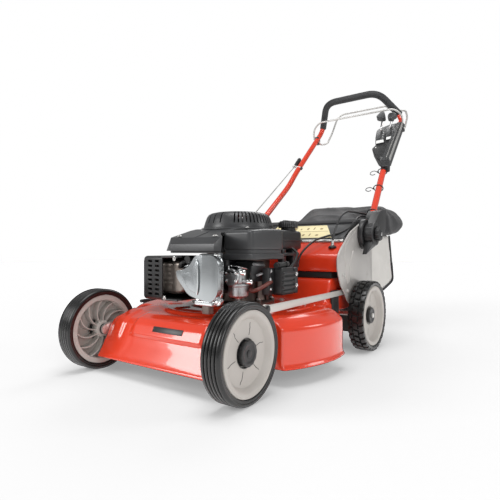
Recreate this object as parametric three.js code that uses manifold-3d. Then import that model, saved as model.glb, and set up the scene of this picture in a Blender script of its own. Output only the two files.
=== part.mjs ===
// Walk-behind petrol lawn mower, 49 cm cut, steel deck, grass bag and folding handle.
// Millimetres, +Z up. +X is the mower's left side and +Y points to its rear.
import * as THREE from 'three';
import { mergeVertices } from 'three/addons/utils/BufferGeometryUtils.js';
import Module from 'manifold-3d';

const wasm = await Module();
wasm.setup();

// ---------------------------------------------------------------- driving dimensions
// The pieces are laid out with y = 0 at the front axle; the exported group is moved so
// that the origin is under the middle of the whole machine.
const MACHINE_MIDDLE_Y = 585.94;
const GAP = 0.4;
const SHEET = 3;

const WHEEL_SIDES = 32;
const RIM_SIDES = 24;
const FACET = Math.cos(Math.PI / WHEEL_SIDES);
const FRONT_WHEEL = { r: 100, rim: 85.6, x: 228, y: 0, z: 100 * FACET, width: 46, axle: 6, cap: 26 };
const REAR_WHEEL = { r: 104, rim: 89.2, x: 267, y: 583, z: 104 * FACET, width: 46, axle: 7, cap: 25 };

const FRONT_PIVOT = { y: 68, z: 114, r: 6 };
const REAR_PIVOT = { y: 670, z: 118, r: 7 };
const FRONT_PIN = { y: 85, z: 174, r: 5 };
const REAR_PIN = { y: 687, z: 199, r: 5 };
const FRONT_ARM = { x: 197.5, thick: 5 };
const REAR_ARM = { x: 219.5, thick: 5 };
const LINK = { x: 226, thick: 4, r: 10, half: 7.5, bend: [440, 175.5], openHole: 7.6 };
const LEVER_TIP = { y: 742, z: 256 };

const CRANK = { x: 0, y: 288, r: 12.3 };
const ENGINE_Y = 292;
const DECK = { lip: 304, wall: 295, top: 151.7, bottom: 37, shoulder: 126, nose: 195, rear: 561 };
const WELL_Y = 122;
const SKIRT_END_Y = 348;
// the round wall that closes the blade chamber behind the skirt's ends
const BACK_WALL = { r: 258, top: 112 };
const BOX = { x: 217, y0: 330, y1: 600, bottom: 124, top: 219 };
const TUNNEL = { x: 150, z0: 131, z1: 211 };
const COVER = { x: 234.6, y0: 436, y1: 505, z0: 237.3, crease: 283, top: 321 };
const PLATE = { x: 235, thick: 3 };
const FLAP_HINGE = { y: 507, z: 331, r: 5 };
const CLAMP = { y: 620, z: 348, disc: 47 };
const TUBE_R = 11;
const GRIP_R = 14.5;
const WIRE_R = 3;
const CABLE_R = 3;
const HANDLE_BASE = { y: 972, z: 635 };
const HANDLE_DIR = new THREE.Vector2(254, 242).normalize();

// ---------------------------------------------------------------- finishes
const FINISH = {
  redPaint: [0xd3200f, 0.25, 0.1],
  darkPlastic: [0x36373a, 0.5, 0],
  blackPlastic: [0x17181a, 0.45, 0],
  greyPlastic: [0xc8c1b9, 0.5, 0],
  rubber: [0x141517, 0.5, 0],
  foam: [0x2a2b2d, 0.85, 0],
  castAluminium: [0xc9ccd0, 0.35, 0.8],
  castIron: [0x6f6660, 0.6, 0.6],
  zinc: [0xbfc1c3, 0.35, 0.85],
  steel: [0x8d9093, 0.3, 0.9],
  lightFabric: [0xc9c4be, 0.9, 0],
  blackFabric: [0x1d1e20, 0.9, 0],
};

const mower = new THREE.Group();
const machine = new THREE.Group();
machine.position.y = -MACHINE_MIDDLE_Y;
mower.add(machine);

// ---------------------------------------------------------------- shape helpers
function toSolid(geometry) {
  const bare = geometry.clone();
  bare.deleteAttribute('normal');
  bare.deleteAttribute('uv');
  const merged = mergeVertices(bare, 1e-4);
  return new wasm.Manifold(new wasm.Mesh({
    numProp: 3,
    vertProperties: new Float32Array(merged.attributes.position.array),
    triVerts: new Uint32Array(merged.index.array),
  }));
}

function toGeometry(solid) {
  const mesh = solid.getMesh();
  const geometry = new THREE.BufferGeometry();
  geometry.setAttribute('position', new THREE.BufferAttribute(mesh.vertProperties, 3));
  geometry.setIndex(new THREE.BufferAttribute(mesh.triVerts, 1));
  geometry.computeVertexNormals();
  return geometry;
}

function addPiece(name, solid, finish) {
  const [color, roughness, metalness] = FINISH[finish];
  const material = new THREE.MeshStandardMaterial({ color, roughness, metalness });
  const mesh = new THREE.Mesh(toGeometry(solid), material);
  mesh.name = name;
  machine.add(mesh);
  return mesh;
}

function join(...solids) {
  return solids.reduce((whole, piece) => whole.add(piece));
}

function cut(solid, ...tools) {
  return tools.reduce((rest, tool) => rest.subtract(tool), solid);
}

function box(x0, x1, y0, y1, z0, z1) {
  const geometry = new THREE.BoxGeometry(x1 - x0, y1 - y0, z1 - z0);
  geometry.translate((x0 + x1) / 2, (y0 + y1) / 2, (z0 + z1) / 2);
  return toSolid(geometry);
}

// A closed outline whose corners are rounded to the given radius.
function outline(points, radius = 0, steps = 3) {
  const corners = points.map(([a, b]) => new THREE.Vector2(a, b));
  if (radius === 0) {
    return new THREE.Shape(corners);
  }
  const rounded = [];
  corners.forEach((corner, i) => {
    const before = corners[(i + corners.length - 1) % corners.length];
    const after = corners[(i + 1) % corners.length];
    const reach = Math.min(radius, corner.distanceTo(before) / 2.05, corner.distanceTo(after) / 2.05);
    const start = corner.clone().add(before.clone().sub(corner).setLength(reach));
    const end = corner.clone().add(after.clone().sub(corner).setLength(reach));
    const arc = new THREE.QuadraticBezierCurve(start, corner, end);
    rounded.push(...arc.getPoints(steps));
  });
  return new THREE.Shape(rounded);
}

function extruded(shape, depth) {
  return new THREE.ExtrudeGeometry(shape, { depth, bevelEnabled: false, curveSegments: 1 });
}

// Prisms of an outline: along X the outline holds [y, z], along Y [x, z], along Z [x, y].
function prismX(points, x0, x1, radius) {
  const geometry = extruded(outline(points, radius), x1 - x0);
  geometry.applyMatrix4(new THREE.Matrix4().makeBasis(
    new THREE.Vector3(0, 1, 0), new THREE.Vector3(0, 0, 1), new THREE.Vector3(1, 0, 0)));
  geometry.translate(x0, 0, 0);
  return toSolid(geometry);
}

function prismY(points, y0, y1, radius) {
  const geometry = extruded(outline(points, radius), y1 - y0);
  geometry.rotateX(Math.PI / 2);
  geometry.translate(0, y1, 0);
  return toSolid(geometry);
}

function prismZ(points, z0, z1, radius) {
  const geometry = extruded(outline(points, radius), z1 - z0);
  geometry.translate(0, 0, z0);
  return toSolid(geometry);
}

// A body of revolution: profile holds [radius, position along the axis].
function turned(profile, axis, centre, sides) {
  const points = profile.map(([r, t]) => new THREE.Vector2(r, t));
  if (THREE.ShapeUtils.area(points) < 0) {
    points.reverse();
  }
  if (points[0].x > 0 || points[points.length - 1].x > 0) {
    points.push(points[0].clone());
  }
  const geometry = new THREE.LatheGeometry(points, sides);
  geometry.rotateY(Math.PI / sides);
  if (axis === 'x') {
    geometry.rotateZ(-Math.PI / 2);
  }
  if (axis === 'z') {
    geometry.rotateX(Math.PI / 2);
  }
  geometry.translate(...centre);
  return toSolid(geometry);
}

function disc(axis, centre, r, t0, t1, sides = 24) {
  return turned([[0, t0], [r, t0], [r, t1], [0, t1]], axis, centre, sides);
}

function rod(from, to, r, sides = 12) {
  const a = new THREE.Vector3(...from);
  const b = new THREE.Vector3(...to);
  const along = b.clone().sub(a);
  const geometry = new THREE.CylinderGeometry(r, r, along.length(), sides);
  const turn = new THREE.Quaternion().setFromUnitVectors(
    new THREE.Vector3(0, 1, 0), along.clone().normalize());
  geometry.applyQuaternion(turn);
  geometry.translate(...a.add(b).multiplyScalar(1 / 2).toArray());
  return toSolid(geometry);
}

// A flat link with round ends between two [y, z] points, lying across X.
function strap(a, b, r, x0, x1) {
  const from = new THREE.Vector2(...a);
  const to = new THREE.Vector2(...b);
  const turn = to.clone().sub(from).angle();
  const ENDS = 6;
  const points = [];
  for (let i = 0; i <= ENDS; i += 1) {
    const angle = turn + Math.PI / 2 + (Math.PI * i) / ENDS;
    points.push([from.x + r * Math.cos(angle), from.y + r * Math.sin(angle)]);
  }
  for (let i = 0; i <= ENDS; i += 1) {
    const angle = turn - Math.PI / 2 + (Math.PI * i) / ENDS;
    points.push([to.x + r * Math.cos(angle), to.y + r * Math.sin(angle)]);
  }
  return prismX(points, x0, x1);
}

// A smooth line through bend points, each bend rounded by the given radius.
function bentLine(points, radius) {
  const corners = points.map((p) => new THREE.Vector3(...p));
  const line = [corners[0]];
  for (let i = 1; i < corners.length - 1; i += 1) {
    const back = corners[i - 1].clone().sub(corners[i]);
    const on = corners[i + 1].clone().sub(corners[i]);
    const reach = Math.min(radius, back.length() / 2.1, on.length() / 2.1);
    const start = corners[i].clone().add(back.setLength(reach));
    const end = corners[i].clone().add(on.setLength(reach));
    line.push(...new THREE.QuadraticBezierCurve3(start, corners[i], end).getPoints(4));
  }
  line.push(corners[corners.length - 1]);
  return new THREE.CatmullRomCurve3(line, false, 'centripetal');
}

function sweep(path, r, sides, steps) {
  const section = [];
  for (let i = 0; i < sides; i += 1) {
    const angle = (2 * Math.PI * i) / sides;
    section.push(new THREE.Vector2(r * Math.cos(angle), r * Math.sin(angle)));
  }
  return toSolid(new THREE.ExtrudeGeometry(new THREE.Shape(section), {
    steps, extrudePath: path, bevelEnabled: false, curveSegments: 1,
  }));
}

// A point in the plane of the upper handle: s runs up the tube, n stands off it.
function onHandle(x, s, n) {
  return [
    x,
    HANDLE_BASE.y + s * HANDLE_DIR.x - n * HANDLE_DIR.y,
    HANDLE_BASE.z + s * HANDLE_DIR.y + n * HANDLE_DIR.x,
  ];
}

// A prism whose [x, s] outline lies in the handle's plane, from n0 to n1.
function handlePrism(points, n0, n1, radius) {
  const geometry = extruded(outline(points, radius), n1 - n0);
  geometry.translate(0, 0, n0);
  geometry.applyMatrix4(new THREE.Matrix4().makeBasis(
    new THREE.Vector3(1, 0, 0),
    new THREE.Vector3(0, HANDLE_DIR.x, HANDLE_DIR.y),
    new THREE.Vector3(0, -HANDLE_DIR.y, HANDLE_DIR.x)));
  geometry.translate(0, HANDLE_BASE.y, HANDLE_BASE.z);
  return toSolid(geometry);
}

const SIDES = [['left', 1], ['right', -1]];

// Swaps a pair of x values when a piece is on the right, so that the lower one comes first.
function across(side, x0, x1) {
  return side > 0 ? [x0, x1] : [-x1, -x0];
}

// ---------------------------------------------------------------- deck
function housing(wall, lip, top, shrink) {
  const low = shrink ? DECK.bottom - 8 : DECK.bottom;
  const round = turned([
    [0, low],
    [lip, low],
    [lip, DECK.bottom + 4],
    [wall, DECK.bottom + 8],
    [wall, DECK.shoulder],
    [wall - 9, DECK.shoulder + 13],
    [wall - 23, DECK.shoulder + 22],
    [wall - 41, top],
    [0, top],
  ], 'z', [CRANK.x, CRANK.y, 0], 44);
  const high = DECK.top + 10;
  const plan = join(
    box(-DECK.lip - 9, DECK.lip + 9, WELL_Y + shrink, SKIRT_END_Y - shrink, 0, high),
    box(-222 + shrink, 222 - shrink, SKIRT_END_Y - 10, DECK.rear - shrink, 0, high));
  const backWall = disc('z', [CRANK.x, CRANK.y, 0], BACK_WALL.r - shrink, low, BACK_WALL.top - shrink);
  const behindSkirt = box(-BACK_WALL.r, BACK_WALL.r, SKIRT_END_Y - 10, DECK.rear, 0, high);
  return join(round.intersect(plan), backWall.intersect(behindSkirt));
}

function nose(shrink) {
  const low = shrink ? DECK.bottom - 8 : DECK.bottom;
  const t = shrink;
  const side = prismX([
    [-28 + t, low], [-27 + t, 43], [-6 + t, 79], [15 + t, 120], [26 + t, 130 - t],
    [62, 142 - t], [110, DECK.top - t], [CRANK.y, DECK.top - t], [CRANK.y, low],
  ], -DECK.nose + t, DECK.nose - t);
  const front = prismY([
    [-DECK.nose + t, 0], [DECK.nose - t, 0], [DECK.nose - t, 124], [184 - t, 141],
    [160 - t, DECK.top - t], [-160 + t, DECK.top - t], [-184 + t, 141], [-DECK.nose + t, 124],
  ], -60, CRANK.y);
  return side.intersect(front);
}

function rearBox(shrink) {
  const t = shrink;
  return prismX([
    [BOX.y0, BOX.bottom + t], [BOX.y0, DECK.top - t], [398 + t, DECK.top - t], [432 + t, BOX.top - t],
    [BOX.y1 - t, BOX.top - t], [BOX.y1 - t, BOX.bottom + t],
  ], -BOX.x + t, BOX.x - t);
}

function deckShell() {
  const outer = join(housing(DECK.wall, DECK.lip, DECK.top, 0), nose(0), rearBox(0));
  const inner = join(
    housing(DECK.wall - SHEET, DECK.wall - SHEET, DECK.top - SHEET, SHEET),
    nose(SHEET),
    rearBox(SHEET));
  const tunnel = box(-TUNNEL.x, TUNNEL.x, BOX.y1 - 10, BOX.y1 + 10, TUNNEL.z0, TUNNEL.z1);
  const beltSlot = box(36, 108, DECK.rear - 8, DECK.rear + 8, 107, BOX.bottom - 1);
  const sideOutlet = box(-DECK.lip - 9, -230, 236, 340, 58, 120);
  const crankHole = disc('z', [CRANK.x, CRANK.y, 0], 32, DECK.top - 20, DECK.top + 20);
  const pivotHole = disc('x', [0, FRONT_PIVOT.y, FRONT_PIVOT.z], FRONT_PIVOT.r + 1, -300, 300, 16);
  addPiece('deck_shell', cut(outer, inner, tunnel, beltSlot, sideOutlet, crankHole, pivotHole), 'redPaint');
}

function rearCover() {
  const skin = (t) => prismX([
    [COVER.y0 + t, COVER.z0 - (t ? 9 : 0)], [COVER.y0 + t, COVER.crease - t / 2],
    [COVER.y1 - 10, COVER.top - t], [COVER.y1 + (t ? 9 : 0), COVER.top - t],
    [COVER.y1 + (t ? 9 : 0), COVER.z0 - (t ? 9 : 0)],
  ], -COVER.x + t, COVER.x - t);
  const grommetHole = disc('z', [199, 470, 0], 6, COVER.crease - 20, COVER.top + 20, 12);
  addPiece('rear_cover', cut(skin(0), skin(SHEET), grommetHole), 'redPaint');
  const seal = cut(
    box(-BOX.x + 4, BOX.x - 4, COVER.y0 + 6, BOX.y1 - 60, BOX.top + GAP, COVER.z0 - GAP),
    box(-BOX.x + 20, BOX.x - 20, COVER.y0 + 22, BOX.y1 - 76, BOX.top - 9, COVER.z0 + 9));
  addPiece('chute_seal', seal, 'rubber');
}

function sidePlate(name, side) {
  const [x0, x1] = across(side, PLATE.x, PLATE.x + PLATE.thick);
  const panel = prismX([
    [427, 275], [429, 242], [449, 203], [470, 184], [500, 150], [545, 130], [628, 130],
    [644, 100], [700, 100], [708, 150], [702, 300], [682, 340], [655, 376], [640, 389],
    [625, 391], [514, 348], [444, 297],
  ], x0, x1, 10);
  const [f0, f1] = across(side, BOX.x + GAP, PLATE.x + 1);
  const foot = box(f0, f1, 484, 592, 210, 217);
  const bolt = disc('x', [0, CLAMP.y, CLAMP.z], 5.2, -300, 300, 12);
  const pivot = disc('x', [0, REAR_PIVOT.y, REAR_PIVOT.z], REAR_PIVOT.r + 0.5, -300, 300, 16);
  addPiece(name, cut(join(panel, foot), bolt, pivot), 'zinc');
}

function rearFlap() {
  const slab = prismX([
    [FLAP_HINGE.y, FLAP_HINGE.z - 2], [599, 384], [600, 389], [596, 392], [FLAP_HINGE.y - 4, FLAP_HINGE.z + 4],
  ], -224, 224);
  const barrel = disc('x', [0, FLAP_HINGE.y, FLAP_HINGE.z], FLAP_HINGE.r, -228, 228, 12);
  addPiece('rear_flap', join(slab, barrel), 'darkPlastic');
}

function trailShield() {
  const HINGE_Y = 692;
  const HINGE_Z = 126;
  const sheet = box(-212, 212, HINGE_Y - 2, HINGE_Y + 2, 26, HINGE_Z);
  const barrel = disc('x', [0, HINGE_Y, HINGE_Z], 4, -212, 212, 10);
  addPiece('trail_shield', join(sheet, barrel), 'rubber');
}

function sideFlap() {
  const R0 = DECK.wall + 4.5;
  const ring = cut(
    disc('z', [CRANK.x, CRANK.y, 0], R0 + 3.5, 47, 142, 44),
    disc('z', [CRANK.x, CRANK.y, 0], R0, 0, 200, 44));
  const window = box(-DECK.lip - 20, -200, 196, 352, 47, 142);
  const barrel = rod([-299, 196, 144], [-299, 352, 144], 4, 10);
  addPiece('side_discharge_flap', join(ring.intersect(window), barrel), 'blackPlastic');
}

// ---------------------------------------------------------------- wheels and height gear
function wheel(label, dims, side) {
  const half = dims.width / 2;
  const place = [0, 0, 0];
  const tyre = turned([
    [dims.rim + 1, -half + 3], [dims.r - 6, -half], [dims.r, -half + 8],
    [dims.r, half - 8], [dims.r - 6, half], [dims.rim + 1, half - 3],
  ], 'x', place, WHEEL_SIDES);
  const bore = dims.axle + GAP;
  const rim = turned([
    [0, half - 3], [bore, half - 3], [bore, -half + 1], [20, -half + 1], [23, 6], [66, 6],
    [71, -half + 5], [dims.rim, -half + 4], [dims.rim, half - 3],
    [dims.rim - 15, half - 2], [66, 12], [dims.cap, 16], [dims.cap, half + 9],
    [dims.cap - 6, half + 12], [0, half + 12],
  ], 'x', place, RIM_SIDES);
  for (const [part, solid, finish] of [['tyre', tyre, 'rubber'], ['rim', rim, 'greyPlastic']]) {
    const piece = addPiece(`${part}_${label}`, solid, finish);
    piece.position.set(side * dims.x, dims.y, dims.z);
    piece.rotation.z = side > 0 ? 0 : Math.PI;
  }
}

function frontCrank() {
  const pivot = [FRONT_PIVOT.y, FRONT_PIVOT.z];
  const axle = [FRONT_WHEEL.y, FRONT_WHEEL.z];
  const pieces = [rod([-FRONT_ARM.x - 2, ...pivot], [FRONT_ARM.x + 2, ...pivot], FRONT_PIVOT.r)];
  const end = FRONT_WHEEL.x + FRONT_WHEEL.width / 2 - 5;
  for (const [, side] of SIDES) {
    const [x0, x1] = across(side, FRONT_ARM.x, FRONT_ARM.x + FRONT_ARM.thick);
    pieces.push(strap(pivot, axle, 13, x0, x1));
    pieces.push(rod([side * (FRONT_ARM.x + 1), ...axle], [side * end, ...axle], FRONT_WHEEL.axle));
  }
  const pin = [FRONT_PIN.y, FRONT_PIN.z];
  pieces.push(strap(pivot, pin, 10, FRONT_ARM.x, FRONT_ARM.x + FRONT_ARM.thick));
  pieces.push(rod([FRONT_ARM.x + 1, ...pin], [LINK.x + LINK.thick + 3, ...pin], FRONT_PIN.r));
  addPiece('front_crank_axle', join(...pieces), 'zinc');
}

function rearCrank() {
  const pivot = [REAR_PIVOT.y, REAR_PIVOT.z];
  const axle = [REAR_WHEEL.y, REAR_WHEEL.z];
  const pin = [REAR_PIN.y, REAR_PIN.z];
  const tip = [LEVER_TIP.y, LEVER_TIP.z];
  const end = REAR_WHEEL.x + REAR_WHEEL.width / 2 - 5;
  const pieces = [
    rod([-PLATE.x - 6, ...pivot], [PLATE.x + 6, ...pivot], REAR_PIVOT.r),
    rod([-end, ...axle], [end, ...axle], REAR_WHEEL.axle),
  ];
  for (const [, side] of SIDES) {
    const [x0, x1] = across(side, REAR_ARM.x, REAR_ARM.x + REAR_ARM.thick);
    pieces.push(strap(pivot, axle, 14, x0, x1));
  }
  pieces.push(strap(pivot, pin, 11, REAR_ARM.x, REAR_ARM.x + REAR_ARM.thick));
  pieces.push(rod([REAR_ARM.x + 1, ...pin], [LINK.x + LINK.thick + 3, ...pin], REAR_PIN.r));
  pieces.push(strap(pivot, tip, 8, -REAR_ARM.x - REAR_ARM.thick, -REAR_ARM.x));
  pieces.push(rod([-REAR_ARM.x - 9, ...tip], [-REAR_ARM.x + 6, ...tip], 13));
  addPiece('rear_crank_axle', join(...pieces), 'zinc');
}

function heightLink() {
  const front = [FRONT_PIN.y, FRONT_PIN.z];
  const rear = [REAR_PIN.y, REAR_PIN.z];
  const x1 = LINK.x + LINK.thick;
  const line = [front, LINK.bend, rear];
  const under = line.map(([y, z]) => [y, z - LINK.half]);
  const over = line.map(([y, z]) => [y, z + LINK.half]).reverse();
  const bar = prismX([...under, ...over], LINK.x, x1);
  const frontEye = disc('x', [0, ...front], LINK.r, LINK.x, x1, 18);
  const rearEye = disc('x', [0, ...rear], LINK.openHole + 4, LINK.x, x1, 18);
  const frontHole = disc('x', [0, ...front], FRONT_PIN.r + GAP, 0, 300, 14);
  const rearHole = disc('x', [0, ...rear], LINK.openHole, 0, 300, 18);
  addPiece('height_link', cut(join(bar, frontEye, rearEye), frontHole, rearHole), 'zinc');
}

// ---------------------------------------------------------------- drive
const GEARBOX = { x: 85, y: 612, top: 111.6 };

function pulleyProfile(z, r, groove, bore) {
  return [
    [bore, z - 5], [r, z - 5], [groove, z - 2.6], [groove, z + 2.6], [r, z + 5], [bore, z + 5],
  ];
}

function drive() {
  const BELT_Z = 117.2;
  const shell = box(40, 130, 565, 634, 72, GEARBOX.top);
  const neck = disc('z', [GEARBOX.x, GEARBOX.y, 0], 7, GEARBOX.top - 1, 123.4, 12);
  const shaft = disc('x', [0, REAR_WHEEL.y, REAR_WHEEL.z], REAR_WHEEL.axle + GAP, 0, 200, 16);
  addPiece('gearbox', cut(join(shell, neck), shaft), 'castAluminium');
  addPiece('gearbox_pulley', turned(pulleyProfile(BELT_Z, 30, 25, 7 + GAP), 'z',
    [GEARBOX.x, GEARBOX.y, 0], 20), 'steel');
  const hub = [
    [CRANK.r + GAP, 62], [28, 62], [28, 68], [19, 72], [19, BELT_Z - 5], [25, BELT_Z - 5],
    [20, BELT_Z - 2.6], [20, BELT_Z + 2.6], [25, BELT_Z + 5], [CRANK.r + GAP, BELT_Z + 5],
  ];
  addPiece('blade_adapter', turned(hub, 'z', [CRANK.x, CRANK.y, 0], 16), 'steel');
  const loop = (grow) => beltOutline([CRANK.x, CRANK.y], 20.8 + grow, [GEARBOX.x, GEARBOX.y], 25.8 + grow);
  const belt = cut(
    prismZ(loop(5), BELT_Z - 1.8, BELT_Z + 1.8),
    prismZ(loop(0), BELT_Z - 9, BELT_Z + 9));
  addPiece('drive_belt', belt, 'rubber');
}

// The outline of an open belt round two pulleys.
function beltOutline(a, ra, b, rb) {
  const along = new THREE.Vector2(b[0] - a[0], b[1] - a[1]);
  const turn = along.angle();
  const lean = Math.acos((ra - rb) / along.length());
  const ARC = 10;
  const points = [];
  for (let i = 0; i <= ARC; i += 1) {
    const angle = turn + lean + ((2 * Math.PI - 2 * lean) * i) / ARC;
    points.push([a[0] + ra * Math.cos(angle), a[1] + ra * Math.sin(angle)]);
  }
  for (let i = 0; i <= ARC; i += 1) {
    const angle = turn - lean + (2 * lean * i) / ARC;
    points.push([b[0] + rb * Math.cos(angle), b[1] + rb * Math.sin(angle)]);
  }
  return points;
}

function blade() {
  const LENGTH = 244;
  const y0 = CRANK.y - 28;
  const y1 = CRANK.y + 28;
  const bar = prismZ([
    [-LENGTH, y0 + 8], [-LENGTH + 8, y0], [LENGTH, y0], [LENGTH, y1 - 8], [LENGTH - 8, y1], [-LENGTH, y1],
  ], 56.2, 60.2);
  const sail = [[0, 58], [10, 58], [-4, 76], [-8, 76]];
  const leftSail = prismX(sail.map(([a, b]) => [y0 + 6 + a, b]), 205, LENGTH - 12);
  const rightSail = prismX(sail.map(([a, b]) => [y1 - 6 - a, b]).reverse(), -LENGTH + 12, -205);
  const hole = disc('z', [CRANK.x, CRANK.y, 0], 9.4, 0, 100, 16);
  addPiece('blade', cut(join(bar, leftSail, rightSail), hole), 'steel');
  const shaft = turned([
    [0, 46], [15, 46], [15, 55.8], [9, 55.8], [9, 60.6], [CRANK.r, 60.6], [CRANK.r, 334],
    [9, 334], [9, 351], [0, 351],
  ], 'z', [CRANK.x, CRANK.y, 0], 16);
  addPiece('crankshaft', shaft, 'steel');
  const wheelProfile = [
    [9 + GAP, 334 + GAP], [78, 334 + GAP], [78, 346], [60, 346], [56, 340], [9 + GAP, 340],
  ];
  addPiece('flywheel', turned(wheelProfile, 'z', [CRANK.x, CRANK.y, 0], 28), 'castAluminium');
}

// ---------------------------------------------------------------- engine
function engineBody() {
  const centre = [CRANK.x, ENGINE_Y, 0];
  const base = DECK.top + GAP;
  const profile = [
    [20, base], [100, base], [100, base + 9], [90, base + 13], [85, 236], [88, 294], [20, 294],
    [20, 288], [74, 288], [74, base + 22], [20, base + 22],
  ];
  addPiece('crankcase', turned(profile, 'z', centre, 24), 'castIron');
  const block = [box(8, 86, 84, 240, 196, 272)];
  for (let i = 0; i < 5; i += 1) {
    const z = 202 + i * 15;
    block.push(box(0, 94, 82, 222, z, z + 4));
  }
  const clear = disc('z', centre, 90, 100, 400, 24);
  addPiece('cylinder_block', cut(join(...block), clear), 'blackPlastic');
  const head = prismY([
    [-3, 250], [2, 232], [36, 196], [60, 190], [102, 182], [116, 200], [118, 270], [108, 286],
    [58, 286], [40, 262], [20, 252],
  ], 52, 82 - GAP, 7);
  const flange = prismY([
    [-8, 246], [-2, 222], [34, 188], [98, 177], [113, 194], [115, 274], [106, 290], [52, 290],
    [30, 266], [0, 260],
  ], 72, 82 - GAP, 8);
  addPiece('cylinder_head_cover', join(head, flange), 'castAluminium');
}

function exhaust() {
  const can = (t) => prismY([
    [-120 + t, 188 + t], [-12 - t, 188 + t], [-12 - t, 273 - t], [-120 + t, 273 - t],
  ], 84 + t, 186 - t, 22);
  const outlet = disc('x', [0, 150, 214], 9, -140, -90, 12);
  addPiece('muffler', cut(can(0), can(4), outlet), 'castIron');
  const outer = box(-130, -6, 60, 200, 176, 284);
  const hollow = box(-127, 10, 63, 190, 179, 281);
  const window = box(-62, 10, 40, 74, 160, 300);
  const slots = [];
  for (const x of [-112, -88]) {
    for (let i = 0; i < 7; i += 1) {
      slots.push(box(x, x + 16, 50, 70, 190 + i * 12, 195 + i * 12));
    }
  }
  const back = box(-80, 10, 170, 220, 185, 275);
  addPiece('muffler_guard', cut(outer, hollow, window, back, ...slots), 'blackPlastic');
}

function covers() {
  const centre = [CRANK.x, ENGINE_Y, 0];
  const drum = disc('z', centre, 104, 297, 356, 32);
  const duct = prismZ([
    [-36, 62], [-14, 46], [120, 46], [130, 60], [78, 116], [74, 200], [74, ENGINE_Y],
    [-104, ENGINE_Y], [-80, 180],
  ], 297, 356);
  const roof = prismX([
    [40, 297], [44, 310], [58, 328], [150, 346], [210, 356], [400, 356], [400, 297],
  ], -110, 140);
  const air = disc('z', centre, 97, 280, 353, 32);
  const ductAir = prismX([[56, 280], [64, 324], [150, 342], [ENGINE_Y, 342], [ENGINE_Y, 280]], -22, 100);
  const intake = disc('z', centre, 70, 330, 370, 24);
  const airBox = box(74, 200, 118, 270, 270, 370);
  const shroud = cut(join(drum, duct).intersect(roof), air, ductAir, intake, airBox);
  addPiece('fan_shroud', shroud, 'darkPlastic');
  const dome = turned([
    [0, 404], [62, 403], [80, 399], [88, 391], [96, 366], [96, 356 + GAP], [92, 356 + GAP], [92, 366],
    [84, 389], [60, 398], [0, 399],
  ], 'z', centre, 24);
  addPiece('recoil_cover', dome, 'darkPlastic');
}

function airCleaner() {
  const plan = (t) => [
    [78 + t, 122 + t], [165 - t, 122 + t], [165 - t, 266 - t], [94 + t, 266 - t], [78 + t, 238],
  ];
  const body = prismZ(plan(0), 280, 352, 12);
  const lip = prismZ(plan(-3), 276, 293, 13);
  const air = prismZ(plan(4), 270, 347, 9);
  const roof = prismX([[110, 276], [110, 343], [180, 349], [280, 352], [280, 276]], 70, 172);
  addPiece('air_cleaner_cover', cut(join(body, lip).intersect(roof), air), 'darkPlastic');
  addPiece('air_filter', box(98, 154, 136, 254, 296, 334), 'foam');
}

function fuelSystem() {
  const bowl = turned([
    [0, 184], [18, 184], [24, 190], [24, 222], [0, 222],
  ], 'z', [118, 134, 0], 16);
  const body = box(97, 142, 112, 158, 220, 262);
  addPiece('carburettor', join(bowl, body, rod([120, 150, 243], [120, 206, 243], 17)), 'castAluminium');
  const canister = prismX([[176, 192], [272, 190], [272, 256], [176, 258]], 172, 204, 5);
  addPiece('evap_canister', canister, 'blackPlastic');
  const tank = prismZ([[40, 271], [146, 271], [146, 408], [40, 408]], 300, 352, 14);
  const neck = disc('z', [112, 376, 0], 18, 340, 361, 20);
  const clear = disc('z', [CRANK.x, ENGINE_Y, 0], 105, 200, 500, 32);
  addPiece('fuel_tank', cut(join(tank, neck), clear), 'blackPlastic');
  const cap = turned([
    [0, 361 + GAP], [27, 361 + GAP], [28, 378], [24, 382], [0, 382],
  ], 'z', [112, 376, 0], 20);
  addPiece('fuel_cap', cap, 'blackPlastic');
}

// ---------------------------------------------------------------- handle
const BAR_STEPS = 62;
const BAR_SIDES = 8;
const BAR_HALF = [
  [228.2, 716.8, 387], [200, 915, 570], [197, 972, 635], [189, 1226, 877], [118, 1117, 967],
];
const BAR = bentLine([...BAR_HALF, ...[...BAR_HALF].reverse().map(([x, y, z]) => [-x, y, z])], 46);

function handlebar() {
  addPiece('handlebar', sweep(BAR, TUBE_R, BAR_SIDES, BAR_STEPS), 'redPaint');
  const grip = bentLine([
    [181, 1213, 887], [118, 1117, 967], [-118, 1117, 967], [-181, 1213, 887],
  ], 46);
  const clear = sweep(BAR, TUBE_R + GAP, BAR_SIDES, BAR_STEPS);
  addPiece('grip_foam', cut(sweep(grip, GRIP_R, 10, 18), clear), 'foam');
}

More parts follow.
